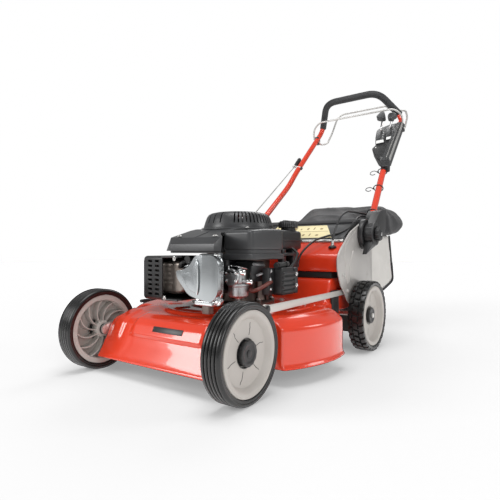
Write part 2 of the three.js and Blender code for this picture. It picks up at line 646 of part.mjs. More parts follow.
function clamps() {
  const clear = sweep(BAR, TUBE_R + GAP, BAR_SIDES, BAR_STEPS);
  const bolt = disc('x', [0, CLAMP.y, CLAMP.z], 4.8, -300, 300, 12);
  for (const [label, side] of SIDES) {
    const centre = [0, CLAMP.y, CLAMP.z];
    const x = PLATE.x + PLATE.thick + GAP;
    const R = CLAMP.disc;
    const rings = [
      [4.8, x], [R, x], [R, x + 5], [R - 4, x + 6], [R - 4, x + 8], [R - 1, x + 9],
      [R - 8, x + 15], [4.8, x + 15],
    ];
    const ringSolid = turned(rings, 'x', [0, 0, 0], 20);
    const turnedRound = side > 0 ? ringSolid : ringSolid.rotate([0, 0, 180]);
    addPiece(`angle_disc_${label}`, turnedRound.translate([0, CLAMP.y, CLAMP.z]), 'blackPlastic');
    const [h0, h1] = across(side, x + 15 + GAP, 279);
    const hub = disc('x', centre, 34, h0, h1, 16);
    const tab = prismX([[598, 330], [574, 284], [604, 302], [645, 322], [640, 360]], h0, h1, 6);
    const arm = prismX([
      [600, 372], [668, 424], [742, 432], [752, 402], [700, 352], [652, 330], [620, 330],
    ], h0, h1, 8);
    const [w0, w1] = across(side, 214, 256);
    const web = prismX([[682, 372], [700, 402], [740, 432], [752, 402], [712, 358], [686, 352]], w0, w1, 6);
    const sleeve = rod([side * 229.4, 708.1, 379], [side * 223.6, 749, 416.7], 17, 10);
    addPiece(`handle_socket_${label}`, cut(join(hub, tab, arm, web, sleeve), clear, bolt), 'blackPlastic');
    const [k0, k1] = across(side, 279 + GAP, 297);
    const [b0, b1] = across(side, PLATE.x - 5, 303);
    const knob = join(disc('x', centre, 21, k0, k1, 12), disc('x', centre, 4, b0, b1, 10));
    addPiece(`clamp_knob_${label}`, knob, 'blackPlastic');
  }
}

const LEVER_PIVOT = { s: 240, n: -30 };

function controlPanel() {
  const shape = [
    [182, 4], [160, 26], [116, 118], [96, 190], [91, 272], [112, 298], [156, 316], [182, 308],
  ];
  const small = [
    [179, 12], [164, 28], [120, 120], [100, 190], [95, 270], [114, 294], [156, 312], [179, 304],
  ];
  const housingSolid = handlePrism(shape, -42, 12, 8);
  const hollow = handlePrism(small, -60, 9, 6);
  const slots = [126, 163].map((x) => handlePrism(
    [[x - 4, 206], [x + 4, 206], [x + 4, 266], [x - 4, 266]], 0, 30));
  const pinLeft = onHandle(93, LEVER_PIVOT.s, LEVER_PIVOT.n);
  const pinRight = onHandle(181, LEVER_PIVOT.s, LEVER_PIVOT.n);
  const pin = rod(pinLeft, pinRight, 2.5, 8);
  const clear = sweep(BAR, TUBE_R + GAP, BAR_SIDES, BAR_STEPS);
  addPiece('control_panel', cut(join(cut(housingSolid, hollow, ...slots), pin), clear), 'blackPlastic');
}

function lever(name, x) {
  const base = onHandle(x, LEVER_PIVOT.s, LEVER_PIVOT.n);
  const top = onHandle(x, 266, 50);
  const hub = disc('x', base, 7, -3, 3, 14);
  const bore = disc('x', base, 2.5 + GAP, -9, 9, 12);
  const stem = rod(base, top, 2.6, 8);
  const knob = handlePrism([[x - 11, 250], [x + 9, 252], [x + 12, 282], [x - 7, 286]], 48, 68, 6);
  addPiece(name, cut(join(hub, stem, knob), bore), 'darkPlastic');
}

function bails() {
  const far = [
    [-184, 1172, 812], [-166, 1156, 792], [-134, 1160, 794], [-127, 1200, 853], [-127, 1252, 928],
    [-108, 1268, 953],
  ];
  const near = [
    [108, 1268, 953], [127, 1252, 928], [150, 1243, 915], [200, 1238, 908], [214, 1212, 870],
    [214, 1172, 812], [204, 1172, 812],
  ];
  const brake = bentLine([...far, ...near], 12);
  const low = [[207, 1172, 826], [207, 1163, 866], [176, 1155, 898]];
  const driveLine = bentLine([...low, ...[...low].reverse().map(([x, y, z]) => [-x, y, z])], 22);
  const clear = sweep(BAR, TUBE_R + GAP, BAR_SIDES, BAR_STEPS);
  addPiece('brake_bail', cut(sweep(brake, WIRE_R, 6, 48), clear), 'zinc');
  addPiece('drive_bail', cut(sweep(driveLine, WIRE_R, 6, 34), clear), 'zinc');
}

function starter() {
  const grip = rod(onHandle(-215, 44, 8), onHandle(-215, 104, 8), 8.5, 12);
  addPiece('starter_grip', grip, 'blackPlastic');
  const rope = new THREE.LineCurve3(
    new THREE.Vector3(-40, 384, 380), new THREE.Vector3(...onHandle(-214, 42, 13)));
  addPiece('starter_rope', sweep(rope, 2, 8, 4), 'foam');
}

// A point beside the left tube below its bend: u runs up the tube, x is measured from
// its middle and n stands off it.
function besideTube(u, x, n) {
  return [224 - 0.104 * u + x, 746 + 0.7346 * u - 0.678 * n, 414 + 0.678 * u + 0.735 * n];
}

function smooth(points) {
  return new THREE.CatmullRomCurve3(points.map((p) => new THREE.Vector3(...p)), false, 'centripetal');
}

const CABLE_JOIN = 80;

function cables() {
  const drivePoints = [
    [199, 470, 316], [198, 474, 345], [192, 486, 380], [184, 505, 408], [182, 545, 432],
    [189, 590, 443], [199, 640, 443], [205, 690, 445], [204, 735, 450], [202, 774, 458],
    besideTube(CABLE_JOIN, -15.5, 0),
  ];
  const brakePoints = [
    [120, 418, 250], [114, 426, 275], [110, 438, 300], [112, 455, 324], [119, 478, 344],
    [138, 520, 365], [156, 558, 377], [176, 600, 402], [190, 645, 420], [198, 700, 432],
    [200, 750, 438], [203.4, 782, 443],
    besideTube(CABLE_JOIN, -11.9, -10),
  ];
  addPiece('drive_cable', sweep(smooth(drivePoints), CABLE_R, 8, 30), 'rubber');
  addPiece('brake_cable', sweep(smooth(brakePoints), CABLE_R, 8, 30), 'rubber');
}

// Both cables where they are tied to the left tube, up to the lever panel.
function cableRun() {
  const START = CABLE_JOIN + 1.5;
  const first = smooth([
    besideTube(START, -15.5, 0), besideTube(160, -15.5, 0), [184.5, 915, 570],
    onHandle(181.5, -22, 0), onHandle(178, -6, -4), onHandle(176, 5, -6),
  ]);
  const second = smooth([
    besideTube(START, -11.9, -10), besideTube(160, -11.9, -10), [188, 922, 563],
    onHandle(185, -22, -10), onHandle(182, -8, -13), onHandle(180, 0, -15),
  ]);
  const tie = (u) => {
    const geometry = extruded(outline([[-20, 4], [-19, -9], [-13, -16], [-4, -17], [8, -12], [13, 0],
      [8, 12], [-3, 13], [-14, 7]]), 4);
    geometry.applyMatrix4(new THREE.Matrix4().makeBasis(
      new THREE.Vector3(1, 0, 0), new THREE.Vector3(0, -0.678, 0.735), new THREE.Vector3(0, -0.735, -0.678)));
    geometry.translate(...besideTube(u, 0, 0));
    return toSolid(geometry);
  };
  const clear = sweep(BAR, TUBE_R + GAP, BAR_SIDES, BAR_STEPS);
  const lines = join(sweep(first, CABLE_R, 8, 14), sweep(second, CABLE_R, 8, 14));
  addPiece('cable_run', cut(join(lines, tie(170), tie(116)), clear), 'rubber');
}

// ---------------------------------------------------------------- grass bag
function grassBag() {
  const MOUTH = 604;
  const ring = cut(
    box(-200, 200, MOUTH, MOUTH + 12, 138, 378),
    box(-188, 188, MOUTH - 9, MOUTH + 21, 150, 366));
  addPiece('bag_frame', ring, 'blackPlastic');
  const side = (t) => [
    [MOUTH + 12 + GAP - (t ? 9 : 0), 140 + t], [760, 136 + t], [921, 151 + t], [1012 - t, 172 + t],
    [1038 - t, 184 + t], [990 - t, 356 + (t ? 9 : 0)], [MOUTH + 12 + GAP - (t ? 9 : 0), 356 + (t ? 9 : 0)],
  ];
  addPiece('bag_body', cut(prismX(side(0), -205, 205), prismX(side(4), -201, 201)), 'lightFabric');
  const top = (t) => prismX([
    [620, 356 + GAP - (t ? 9 : 0)], [620 + t, 384 - t], [740, 424 - t], [850, 452 - t], [945, 466 - t],
    [1010, 462 - t], [1038 - t, 440], [1030 - t, 392], [990 - t, 356 + GAP - (t ? 9 : 0)],
  ], -240 + t, 240 - t);
  const waist = (t) => prismZ([
    [-206 + t, 616 + GAP - (t ? 9 : 0)], [206 - t, 616 + GAP - (t ? 9 : 0)], [197 - t, 690], [197 - t, 795],
    [240 - t, 880], [240 - t, 1060], [-240 + t, 1060], [-240 + t, 880], [-197 + t, 795], [-197 + t, 690],
  ], 300, 500);
  const arch = (t) => prismY([
    [-240 + t, 340], [240 - t, 340], [240 - t, 402], [212 - t, 438 - t], [150, 468 - t], [-150, 468 - t],
    [-212 + t, 438 - t], [-240 + t, 402],
  ], 600, 1060);
  const shell = (t) => top(t).intersect(waist(t)).intersect(arch(t));
  addPiece('bag_top', cut(shell(0), shell(4)), 'blackFabric');
}

// ---------------------------------------------------------------- assembly
deckShell();
rearCover();
SIDES.forEach(([label, side]) => sidePlate(`side_plate_${label}`, side));
rearFlap();
trailShield();
sideFlap();
for (const [label, side] of SIDES) {
  wheel(`front_${label}`, FRONT_WHEEL, side);
  wheel(`rear_${label}`, REAR_WHEEL, side);
}
frontCrank();
rearCrank();
heightLink();
drive();
blade();
engineBody();
exhaust();
covers();
airCleaner();
fuelSystem();
handlebar();
clamps();
controlPanel();
lever('throttle_lever', 126);
lever('speed_lever', 163);
bails();
starter();
cables();
cableRun();
grassBag();

export default mower;
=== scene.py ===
"""Looks of the walk-behind petrol lawn mower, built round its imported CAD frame.

Pieces are laid out in millimetres with y = 0 at the front axle, as the part's own source
does, and place() turns that into the row frame in metres. x grows towards the mower's left
and y towards its back.
"""

import math

import bmesh
import bpy
import numpy as np
from mathutils import Matrix, Vector, noise


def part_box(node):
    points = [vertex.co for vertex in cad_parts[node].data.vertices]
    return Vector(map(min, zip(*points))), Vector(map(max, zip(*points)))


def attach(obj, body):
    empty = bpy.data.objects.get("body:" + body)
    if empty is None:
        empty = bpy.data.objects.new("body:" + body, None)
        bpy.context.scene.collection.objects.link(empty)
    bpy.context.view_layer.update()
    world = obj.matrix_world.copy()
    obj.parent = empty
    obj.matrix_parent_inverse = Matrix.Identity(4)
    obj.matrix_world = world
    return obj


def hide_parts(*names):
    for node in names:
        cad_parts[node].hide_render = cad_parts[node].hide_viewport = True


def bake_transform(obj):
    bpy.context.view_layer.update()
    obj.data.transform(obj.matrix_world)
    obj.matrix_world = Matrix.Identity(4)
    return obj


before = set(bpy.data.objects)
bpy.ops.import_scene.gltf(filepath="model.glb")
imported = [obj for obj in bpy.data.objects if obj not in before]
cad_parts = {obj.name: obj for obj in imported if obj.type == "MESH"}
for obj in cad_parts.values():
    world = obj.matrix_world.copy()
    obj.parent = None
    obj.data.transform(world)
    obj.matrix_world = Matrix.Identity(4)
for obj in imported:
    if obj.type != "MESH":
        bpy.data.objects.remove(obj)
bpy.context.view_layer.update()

MM = 0.001
MACHINE_MIDDLE_Y = 585.94
SIDES = (("left", 1), ("right", -1))
# a wheel stands on a flat of its 32-sided outline, so its axle is this part of its radius high
FACET = math.cos(math.pi / 32)
FRONT_WHEEL = 228, 0, 100 * FACET
REAR_WHEEL = 267, 583, 104 * FACET
DECK_AXIS_Y = 288
CRANK_Y = 292
PLATE_X = 237.6
# a point of the upper handle tubes, and the y and z steps along them
HANDLE_Y, HANDLE_Z = 972, 635
ALONG_Y, ALONG_Z = 0.724, 0.6898
ROPE_OUTLET = -40, 384, 380
ROPE_GUIDE = -214, 36, 12


def place(p):
    return Vector((p[0] * MM, (p[1] - MACHINE_MIDDLE_Y) * MM, p[2] * MM))


# ------------------------------------------------------------------ mesh helpers
def fillet(points, radius, steps=5, closed=True):
    """The points with each corner rounded; radius is one number or one per corner."""
    pts = [Vector(p) for p in points]
    count = len(pts)
    radii = radius if isinstance(radius, (list, tuple)) else [radius] * count
    line = []
    for i, corner in enumerate(pts):
        if radii[i] <= 0 or (not closed and i in (0, count - 1)):
            line.append(corner)
            continue
        back, on = pts[i - 1] - corner, pts[(i + 1) % count] - corner
        reach = min(radii[i], back.length / 2.05, on.length / 2.05)
        start, end = corner + back.normalized() * reach, corner + on.normalized() * reach
        for k in range(steps + 1):
            t = k / steps
            line.append(start * (1 - t) ** 2 + corner * 2 * t * (1 - t) + end * t * t)
    return line


def edit(mesh, *changes):
    """Runs each change on a bmesh of the mesh and writes the result back."""
    bm = bmesh.new()
    bm.from_mesh(mesh)
    for change in changes:
        change(bm)
    bm.to_mesh(mesh)
    bm.free()


def weld(bm):
    bmesh.ops.remove_doubles(bm, verts=bm.verts, dist=1e-6)


def face_outward(bm):
    bmesh.ops.recalc_face_normals(bm, faces=bm.faces)


def link(name, data):
    obj = bpy.data.objects.new(name, data)
    bpy.context.scene.collection.objects.link(obj)
    return obj


def new_object(verts, faces):
    mesh = bpy.data.meshes.new("part")
    mesh.from_pydata([place(v) for v in verts], [], faces)
    edit(mesh, weld, face_outward)
    return link("part", mesh)


FLAT_DEGREES = 2.0
# for each axis, the indices of the other two coordinates and then its own
PLANES = {"x": (1, 2, 0), "y": (0, 2, 1), "z": (0, 1, 2)}


def prism(axis, points, a0, a1, radius=0, steps=4):
    """A prism along an axis; its outline holds the other two coordinates in order."""
    ring = fillet(points, radius, steps)
    i, j, k = PLANES[axis]
    verts = []
    for a in (a0, a1):
        for p in ring:
            v = [0, 0, 0]
            v[i], v[j], v[k] = p[0], p[1], a
            verts.append(v)
    n = len(ring)
    faces = [list(range(n)), list(range(n, 2 * n))]
    faces += [(q, (q + 1) % n, n + (q + 1) % n, n + q) for q in range(n)]
    return new_object(verts, faces)


def block(x0, x1, y0, y1, z0, z1):
    return prism("z", [(x0, y0), (x1, y0), (x1, y1), (x0, y1)], z0, z1)


def sided_block(side, x0, x1, *rest):
    """A block on the left for side 1, or its mirror image on the right for side -1."""
    return block(*sorted((x0 * side, x1 * side)), *rest)


def polar(centre, r, angle):
    return centre[0] + r * math.cos(angle), centre[1] + r * math.sin(angle)


def lathe(axis, centre, profile, segments):
    """A closed body of revolution; profile holds (radius, place along the axis)."""
    closed = profile[0][0] > 1e-6 or profile[-1][0] > 1e-6
    i, j, k = PLANES[axis]
    verts, rings = [], []
    for r, t in profile:
        count = 1 if r < 1e-6 else segments
        ring = []
        for q in range(count):
            angle = 2 * math.pi * (q + 0.5) / segments
            v = [0, 0, 0]
            v[i] = centre[i] + r * math.cos(angle)
            v[j] = centre[j] + r * math.sin(angle)
            v[k] = centre[k] + t
            ring.append(len(verts))
            verts.append(v)
        rings.append(ring)
    faces = []
    pairs = list(zip(rings, rings[1:]))
    if closed:
        pairs.append((rings[-1], rings[0]))
    for a, b in pairs:
        for q in range(segments):
            p = (q + 1) % segments
            if len(a) == 1 and len(b) == 1:
                break
            if len(a) == 1:
                faces.append((a[0], b[q], b[p]))
            elif len(b) == 1:
                faces.append((a[q], b[0], a[p]))
            else:
                faces.append((a[q], b[q], b[p], a[p]))
    return new_object(verts, faces)


def disc(axis, centre, r, t0, t1, edge, segments):
    """A round plate from t0 to t1 whose rim is rounded by edge at the t1 end."""
    e = min(edge, r * 0.5, abs(t1 - t0) * 0.5)
    side = 1 if t1 > t0 else -1
    arc = [(r - e + e * math.sin(a), t1 - side * e + side * e * math.cos(a))
           for a in (math.pi / 2, math.pi / 4, 0)]
    return lathe(axis, centre, [(0, t0), (r, t0)] + arc + [(0, t1)], segments)


def sweep(points, radius, sides, bend=0.0, steps=6, flat=1.0):
    """A closed tube along a line whose bends are rounded. radius may be a list."""
    path = fillet(points, bend, steps, closed=False) if bend else [Vector(p) for p in points]
    radii = radius if isinstance(radius, (list, tuple)) else [radius] * len(path)
    tangents = []
    for q in range(len(path)):
        a, b = path[max(q - 1, 0)], path[min(q + 1, len(path) - 1)]
        tangents.append((b - a).normalized())
    up = Vector((0, 0, 1)) if abs(tangents[0].z) < 0.9 else Vector((1, 0, 0))
    side = tangents[0].cross(up).normalized()
    verts = []
    for q, p in enumerate(path):
        t = tangents[q]
        side = (side - t * side.dot(t)).normalized()
        other = t.cross(side)
        for k in range(sides):
            a = 2 * math.pi * k / sides
            verts.append(p + (side * math.cos(a) + other * math.sin(a) * flat) * radii[q])
    faces = [list(range(sides)), list(range(len(verts) - sides, len(verts)))]
    for q in range(len(path) - 1):
        for k in range(sides):
            m = (k + 1) % sides
            faces.append((q * sides + k, q * sides + m, (q + 1) * sides + m, (q + 1) * sides + k))
    return new_object(verts, faces)


def smooth_line(points, per_span):
    """Points of a smooth curve through the given ones (Catmull-Rom)."""
    pts = [Vector(p) for p in points]
    pts = [pts[0] * 2 - pts[1]] + pts + [pts[-1] * 2 - pts[-2]]
    line = []
    for q in range(1, len(pts) - 2):
        a, b, c, d = pts[q - 1:q + 3]
        for k in range(per_span):
            t = k / per_span
            line.append((b * 2 + (c - a) * t + (a * 2 - b * 5 + c * 4 - d) * t * t
                + (b * 3 - a - c * 3 + d) * t ** 3) / 2)
    line.append(pts[-2])
    return line


def modify(obj, kind, **values):
    mod = obj.modifiers.new(kind.lower(), kind)
    for key, value in values.items():
        setattr(mod, key, value)


def apply(obj):
    """Makes the modified shape the object's own mesh."""
    bpy.context.view_layer.update()
    mesh = bpy.data.meshes.new_from_object(obj.evaluated_get(bpy.context.evaluated_depsgraph_get()))
    obj.modifiers.clear()
    obj.data = mesh
    return obj


def merged(objs):
    """One object holding the meshes of all, which may overlap."""
    first = objs[0]
    bm = bmesh.new()
    for o in objs:
        bm.from_mesh(o.data)
    mesh = bpy.data.meshes.new("part")
    bm.to_mesh(mesh)
    bm.free()
    first.data = mesh
    for o in objs[1:]:
        bpy.data.objects.remove(o)
    return first


def boolean(obj, tools, operation="DIFFERENCE"):
    tool = merged(tools)
    modify(obj, "BOOLEAN", operation=operation, object=tool, solver="EXACT", use_self=True)
    apply(obj)
    bpy.data.objects.remove(tool)
    return obj


def bevel(obj, width, segments=2, angle=28):
    modify(obj, "BEVEL", width=width * MM, segments=segments, limit_method="ANGLE",
           angle_limit=math.radians(angle), miter_outer="MITER_ARC")
    return apply(obj)


def relax(obj, voxel, iterations, factor=0.5):
    """Closes the overlapping parts of obj into one skin and smooths it."""
    modify(obj, "REMESH", mode="VOXEL", voxel_size=voxel * MM)
    modify(obj, "SMOOTH", factor=factor, iterations=iterations)
    return apply(obj)


def clone(node):
    """A free copy of a CAD node's mesh, with its flat faces made whole again."""
    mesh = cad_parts[node].data.copy()
    mesh.materials.clear()
    edit(mesh, weld, lambda bm: bmesh.ops.dissolve_limit(
        bm, angle_limit=math.radians(FLAT_DEGREES), verts=bm.verts, edges=bm.edges))
    return link("copy", mesh)


def read(obj, what):
    values = np.empty(len(obj.data.vertices) * 3)
    obj.data.vertices.foreach_get(what, values)
    return values.reshape(-1, 3)


def design(obj):
    """The points of obj in design millimetres."""
    return read(obj, "co") / MM + np.array([0, MACHINE_MIDDLE_Y, 0])


def set_design(obj, x, y, z):
    """Moves the points of obj to design millimetres."""
    co = np.stack([x, y - MACHINE_MIDDLE_Y, z], 1) * MM
    obj.data.vertices.foreach_set("co", co.ravel())
    obj.data.update()


def push(obj, lift):
    """Moves each point along its normal by lift millimetres."""
    set_design(obj, *(design(obj) + read(obj, "normal") * lift[:, None]).T)


def ramp(v, a, b):
    """0 up to a, 1 from b on, and a smooth rise between them."""
    t = np.clip((v - a) / (b - a), 0, 1)
    return t * t * (3 - 2 * t)


def pad(v, a, b, soft):
    """1 between a and b, falling to 0 over soft outside them."""
    return ramp(v, a - soft, a) * (1 - ramp(v, b, b + soft))


def finish(obj, name, material, body, replaces=(), sharp=32, slot="own"):
    """Gives a piece its name, material and body and hides the CAD nodes it replaces; its slot, by
    default the material's, is worked out but not stored.
    """
    obj.name = name
    obj.data.name = name
    obj.data.materials.clear()
    obj.data.materials.append(material)
    for polygon in obj.data.polygons:
        polygon.material_index = 0
    obj.data.shade_smooth()
    obj.data.set_sharp_from_angle(angle=math.radians(sharp))
    if body:
        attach(obj, body)
    if slot == "own":
        slot = SLOTS[material.name]
    if replaces:
        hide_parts(*([replaces] if isinstance(replaces, str) else replaces))
    return obj


# ------------------------------------------------------------------ materials
SLOTS = {}


def set_inputs(node, values):
    for key, value in values.items():
        node.inputs[key].default_value = value


def material(name, colour, rough, slot="as named", metal=0.0, grain=500.0, bump=0.05, mottle=0.05,
        spread=0.06, coat=0.0, coat_rough=0.05, wear=0.0, specular=0.5, sheen=0.0):
    """A procedural finish: fine grain in the surface, and slow changes of colour and gloss."""
    mat = bpy.data.materials.new(name)
    SLOTS[mat.name] = name if slot == "as named" else slot
    mat.use_nodes = True
    tree = mat.node_tree
    shader = tree.nodes["Principled BSDF"]
    set_inputs(shader, {"Metallic": metal, "Specular IOR Level": specular, "Coat Weight": coat,
        "Coat Roughness": coat_rough, "Sheen Weight": sheen})

    def add(kind, **values):
        node = tree.nodes.new(f"ShaderNode{kind}")
        set_inputs(node, {key.replace("_", " "): value for key, value in values.items()})
        return node

    where = add("TexCoord")
    slow = add("TexNoise", Scale=14, Detail=5)
    fine = add("TexNoise", Scale=grain, Detail=3)
    for node in (slow, fine):
        tree.links.new(where.outputs["Object"], node.inputs["Vector"])
    colours = add("ValToRGB")
    for element, factor, at in zip(colours.color_ramp.elements, (1 - mottle, 1 + mottle),
            (0.3, 0.7)):
        element.color = [min(1, c * factor) for c in colour] + [1]
        element.position = at
    tree.links.new(slow.outputs["Fac"], colours.inputs["Fac"])
    result = colours.outputs["Color"]
    if wear:
        edge = add("NewGeometry")
        mask = add("MapRange", From_Min=0.54, From_Max=0.62, To_Max=wear)
        mix = tree.nodes.new("ShaderNodeMix")
        mix.data_type = "RGBA"
        mix.inputs["B"].default_value = [min(1, c * 1.8 + 0.05) for c in colour] + [1]
        tree.links.new(edge.outputs["Pointiness"], mask.inputs["Value"])
        tree.links.new(mask.outputs["Result"], mix.inputs["Factor"])
        tree.links.new(result, mix.inputs["A"])
        result = mix.outputs["Result"]
    tree.links.new(result, shader.inputs["Base Color"])
    gloss = add("MapRange", To_Min=max(0.02, rough - spread), To_Max=min(1, rough + spread))
    tree.links.new(slow.outputs["Fac"], gloss.inputs["Value"])
    tree.links.new(gloss.outputs["Result"], shader.inputs["Roughness"])
    relief = add("Bump", Strength=bump, Distance=0.0006)
    tree.links.new(fine.outputs["Fac"], relief.inputs["Height"])
    tree.links.new(relief.outputs["Normal"], shader.inputs["Normal"])
    return mat


def woven(name, colour, rough, bump=0.35, mottle=0.12):
    """Cloth: two crossed sets of threads over a mottled colour."""
    mat = material(name, colour, rough, grain=260, bump=0, mottle=mottle, spread=0.08, specular=0.3,
        sheen=0.15)
    tree = mat.node_tree
    where = tree.nodes.new("ShaderNodeTexCoord")
    heights = []
    for direction in ("X", "Z"):
        wave = tree.nodes.new("ShaderNodeTexWave")
        wave.bands_direction = direction
        set_inputs(wave, {"Scale": 300, "Distortion": 0.6})
        tree.links.new(where.outputs["Object"], wave.inputs["Vector"])
        heights.append(wave.outputs["Fac"])
    both = tree.nodes.new("ShaderNodeMath")
    both.operation = "MULTIPLY"
    tree.links.new(heights[0], both.inputs[0])
    tree.links.new(heights[1], both.inputs[1])
    relief = next(n for n in tree.nodes if n.type == "BUMP")
    relief.inputs["Strength"].default_value = bump
    tree.links.new(both.outputs["Value"], relief.inputs["Height"])
    return mat


RED = material("red_paint", (0.72, 0.045, 0.014), 0.2, grain=260, bump=0.03, mottle=0.03, coat=0.7,
    coat_rough=0.03)
DARK = material("dark_plastic", (0.042, 0.043, 0.045), 0.34, grain=1100, bump=0.1, mottle=0.08,
    wear=0.25)
BLACK = material("black_plastic", (0.014, 0.014, 0.015), 0.38, grain=1200, bump=0.1, mottle=0.15,
    wear=0.3)
GREY = material("wheel_plastic", (0.46, 0.43, 0.40), 0.42, grain=900, bump=0.06, mottle=0.04)
RUBBER = material("tyre_rubber", (0.012, 0.012, 0.012), 0.24, grain=700, bump=0.05, mottle=0.2)
SOFT_RUBBER = material("soft_rubber", (0.012, 0.012, 0.012), 0.5, grain=800, bump=0.1, mottle=0.2)
FOAM = material("grip_foam", (0.025, 0.026, 0.028), 0.55, grain=1500, bump=0.5, mottle=0.15)
ALU = material("cast_aluminium", (0.66, 0.69, 0.70), 0.24, metal=1.0, grain=420, bump=0.1,
    mottle=0.05, spread=0.08)
ROUGH_ALU = material("rough_castings", (0.55, 0.56, 0.57), 0.38, slot="cast_aluminium", metal=1.0,
    grain=900, bump=0.4, mottle=0.15)
CASTING = material("dull_castings", (0.16, 0.13, 0.115), 0.42, metal=0.75, grain=800, bump=0.35,
    mottle=0.2)
ZINC = material("zinc_steel", (0.70, 0.69, 0.67), 0.3, metal=0.85, grain=340, bump=0.06,
    mottle=0.06, spread=0.1)
LINK = material("link_steel", (0.62, 0.60, 0.57), 0.4, slot="zinc_steel", metal=0.55, grain=500,
    bump=0.08, mottle=0.06)
STEEL = material("steel", (0.5, 0.5, 0.51), 0.3, metal=1.0, grain=300, bump=0.1, mottle=0.12,
    spread=0.12)
# the valve cover's aluminium, painted darker than cast_aluminium: painted shade standing for the
# dark reflections on the cover's face
SHADED_ALU = material("cover_aluminium_painted_shade", (0.40, 0.42, 0.43), 0.26, slot="cast_aluminium", metal=1.0,
    grain=420, bump=0.1, mottle=0.08)
CHROME = material("bright_steel", (0.86, 0.86, 0.86), 0.12, slot="steel", metal=1.0, grain=300,
    bump=0.02, mottle=0.03)
BAIL = material("bail_steel", (0.56, 0.55, 0.53), 0.32, slot="zinc_steel", metal=0.55, grain=400,
    bump=0.05, mottle=0.06)
CAN = material("muffler_steel", (0.26, 0.225, 0.20), 0.3, slot="dull_castings", metal=0.85,
    grain=700, bump=0.12, mottle=0.15)
HOSE = material("fuel_hose", (0.16, 0.045, 0.035), 0.4, slot="soft_rubber", grain=700, bump=0.1,
    mottle=0.2)
WHITE = material("label_white", (0.85, 0.85, 0.83), 0.5, slot=None, grain=700, bump=0.04,
    mottle=0.03)
ROPE = material("rope_cord", (0.35, 0.35, 0.34), 0.7, slot="soft_rubber", grain=2500, bump=0.6,
    mottle=0.25)
LIGHT_CLOTH = woven("light_fabric", (0.62, 0.60, 0.57), 0.75, bump=0.2, mottle=0.04)
BLACK_CLOTH = woven("black_fabric", (0.024, 0.024, 0.026), 0.7)
PLATE = material("plate_paint", (0.48, 0.46, 0.44), 0.35, slot="zinc_steel", metal=0.35, grain=600,
    bump=0.08, mottle=0.05)
MARK = material("label_print", (0.30, 0.22, 0.10), 0.5, slot=None, grain=700, bump=0.02, mottle=0.1)
LABEL = material("label_buff", (0.80, 0.70, 0.40), 0.5, slot=None, grain=700, bump=0.04,
    mottle=0.05)
PIPING = material("piping", (0.012, 0.012, 0.013), 0.5, slot="black_fabric", grain=1800, bump=0.4,
    mottle=0.2)


# ------------------------------------------------------------------ camera, light, floor
CAMERA_AT = 718, -664, 299
CAMERA_TURN = 35.37
LENS = 30.56
# where each lamp hangs and what it faces, in metres, with its size and power
LAMPS = (
    ((0.2, -0.7, 2.5), (0.0, -0.2, 0.3), 1.5, 32),
    ((2.1, -1.7, 1.3), (0.1, -0.2, 0.2), 0.9, 15),
    ((-1.3, -2.2, 1.2), (0.0, -0.4, 0.15), 0.9, 23),
    ((2.2, 1.1, 1.4), (0.1, 0.3, 0.3), 0.9, 12),
    ((-0.6, 2.0, 2.2), (0.0, 0.3, 0.3), 1.4, 18))
FLOOR_HALF = 9


def studio():
    camera = link("camera", bpy.data.cameras.new("camera"))
    camera.data.sensor_width = 36
    camera.data.lens = LENS
    camera.location = place(CAMERA_AT)
    camera.rotation_euler = (math.radians(90), 0, math.radians(CAMERA_TURN))
    bpy.context.scene.camera = camera

    mesh = bpy.data.meshes.new("floor")
    corners = [(x * FLOOR_HALF, y * FLOOR_HALF, 0) for x, y in ((-1, -1), (1, -1), (1, 1), (-1, 1))]
    mesh.from_pydata(corners, [], [(0, 1, 2, 3)])
    floor = link("floor", mesh)
    pale = bpy.data.materials.new("pale_floor")
    pale.use_nodes = True
    set_inputs(pale.node_tree.nodes["Principled BSDF"], {
        "Base Color": (0.93, 0.925, 0.92, 1), "Roughness": 0.6, "Specular IOR Level": 0.2,
        "Emission Color": (1, 1, 1, 1), "Emission Strength": 0.3})
    mesh.materials.append(pale)
    floor.is_shadow_catcher = True

    # soft light from all sides, and plain white where the camera sees past the floor
    world = bpy.data.worlds.new("studio")
    world.use_nodes = True
    tree = world.node_tree
    soft = tree.nodes["Background"]
    set_inputs(soft, {"Color": (1, 1, 1, 1), "Strength": 0.32})
    plain = tree.nodes.new("ShaderNodeBackground")
    set_inputs(plain, {"Color": (1, 1, 1, 1)})
    ray = tree.nodes.new("ShaderNodeLightPath")
    mix = tree.nodes.new("ShaderNodeMixShader")
    tree.links.new(ray.outputs["Is Camera Ray"], mix.inputs["Fac"])
    tree.links.new(soft.outputs["Background"], mix.inputs[1])
    tree.links.new(plain.outputs["Background"], mix.inputs[2])
    tree.links.new(mix.outputs["Shader"], tree.nodes["World Output"].inputs["Surface"])
    bpy.context.scene.world = world
    bpy.context.scene.view_settings.view_transform = "Standard"
    for where, towards, size, power in LAMPS:
        lamp = bpy.data.lights.new("softbox", "AREA")
        lamp.size, lamp.energy = size, power
        light = link("softbox", lamp)
        light.location = where
        light.rotation_euler = (Vector(towards) - Vector(where)).to_track_quat("-Z", "Y").to_euler()


# ------------------------------------------------------------------ small hardware
def hex_bolt(centre, axis, across, height, washer=0.0):
    """A bolt head standing off along an axis ('x', '-x', 'y', '-y', 'z')."""
    side = -1 if axis.startswith("-") else 1
    key = axis[-1]
    parts = [disc(key, centre, washer, 0, side * 1.2, 0.4, 24)] if washer else []
    parts.append(lathe(key, centre, [(0, 0), (across, 0), (across, side * (height - 1)),
        (across * 0.86, side * height), (0, side * height)], 6))
    return merged(parts)


def screws(places, axis, name, body, mat, across, height, washer):
    bolts = [hex_bolt(p, axis, across, height, washer) for p in places]
    return finish(merged(bolts), name, mat, body, slot="steel")


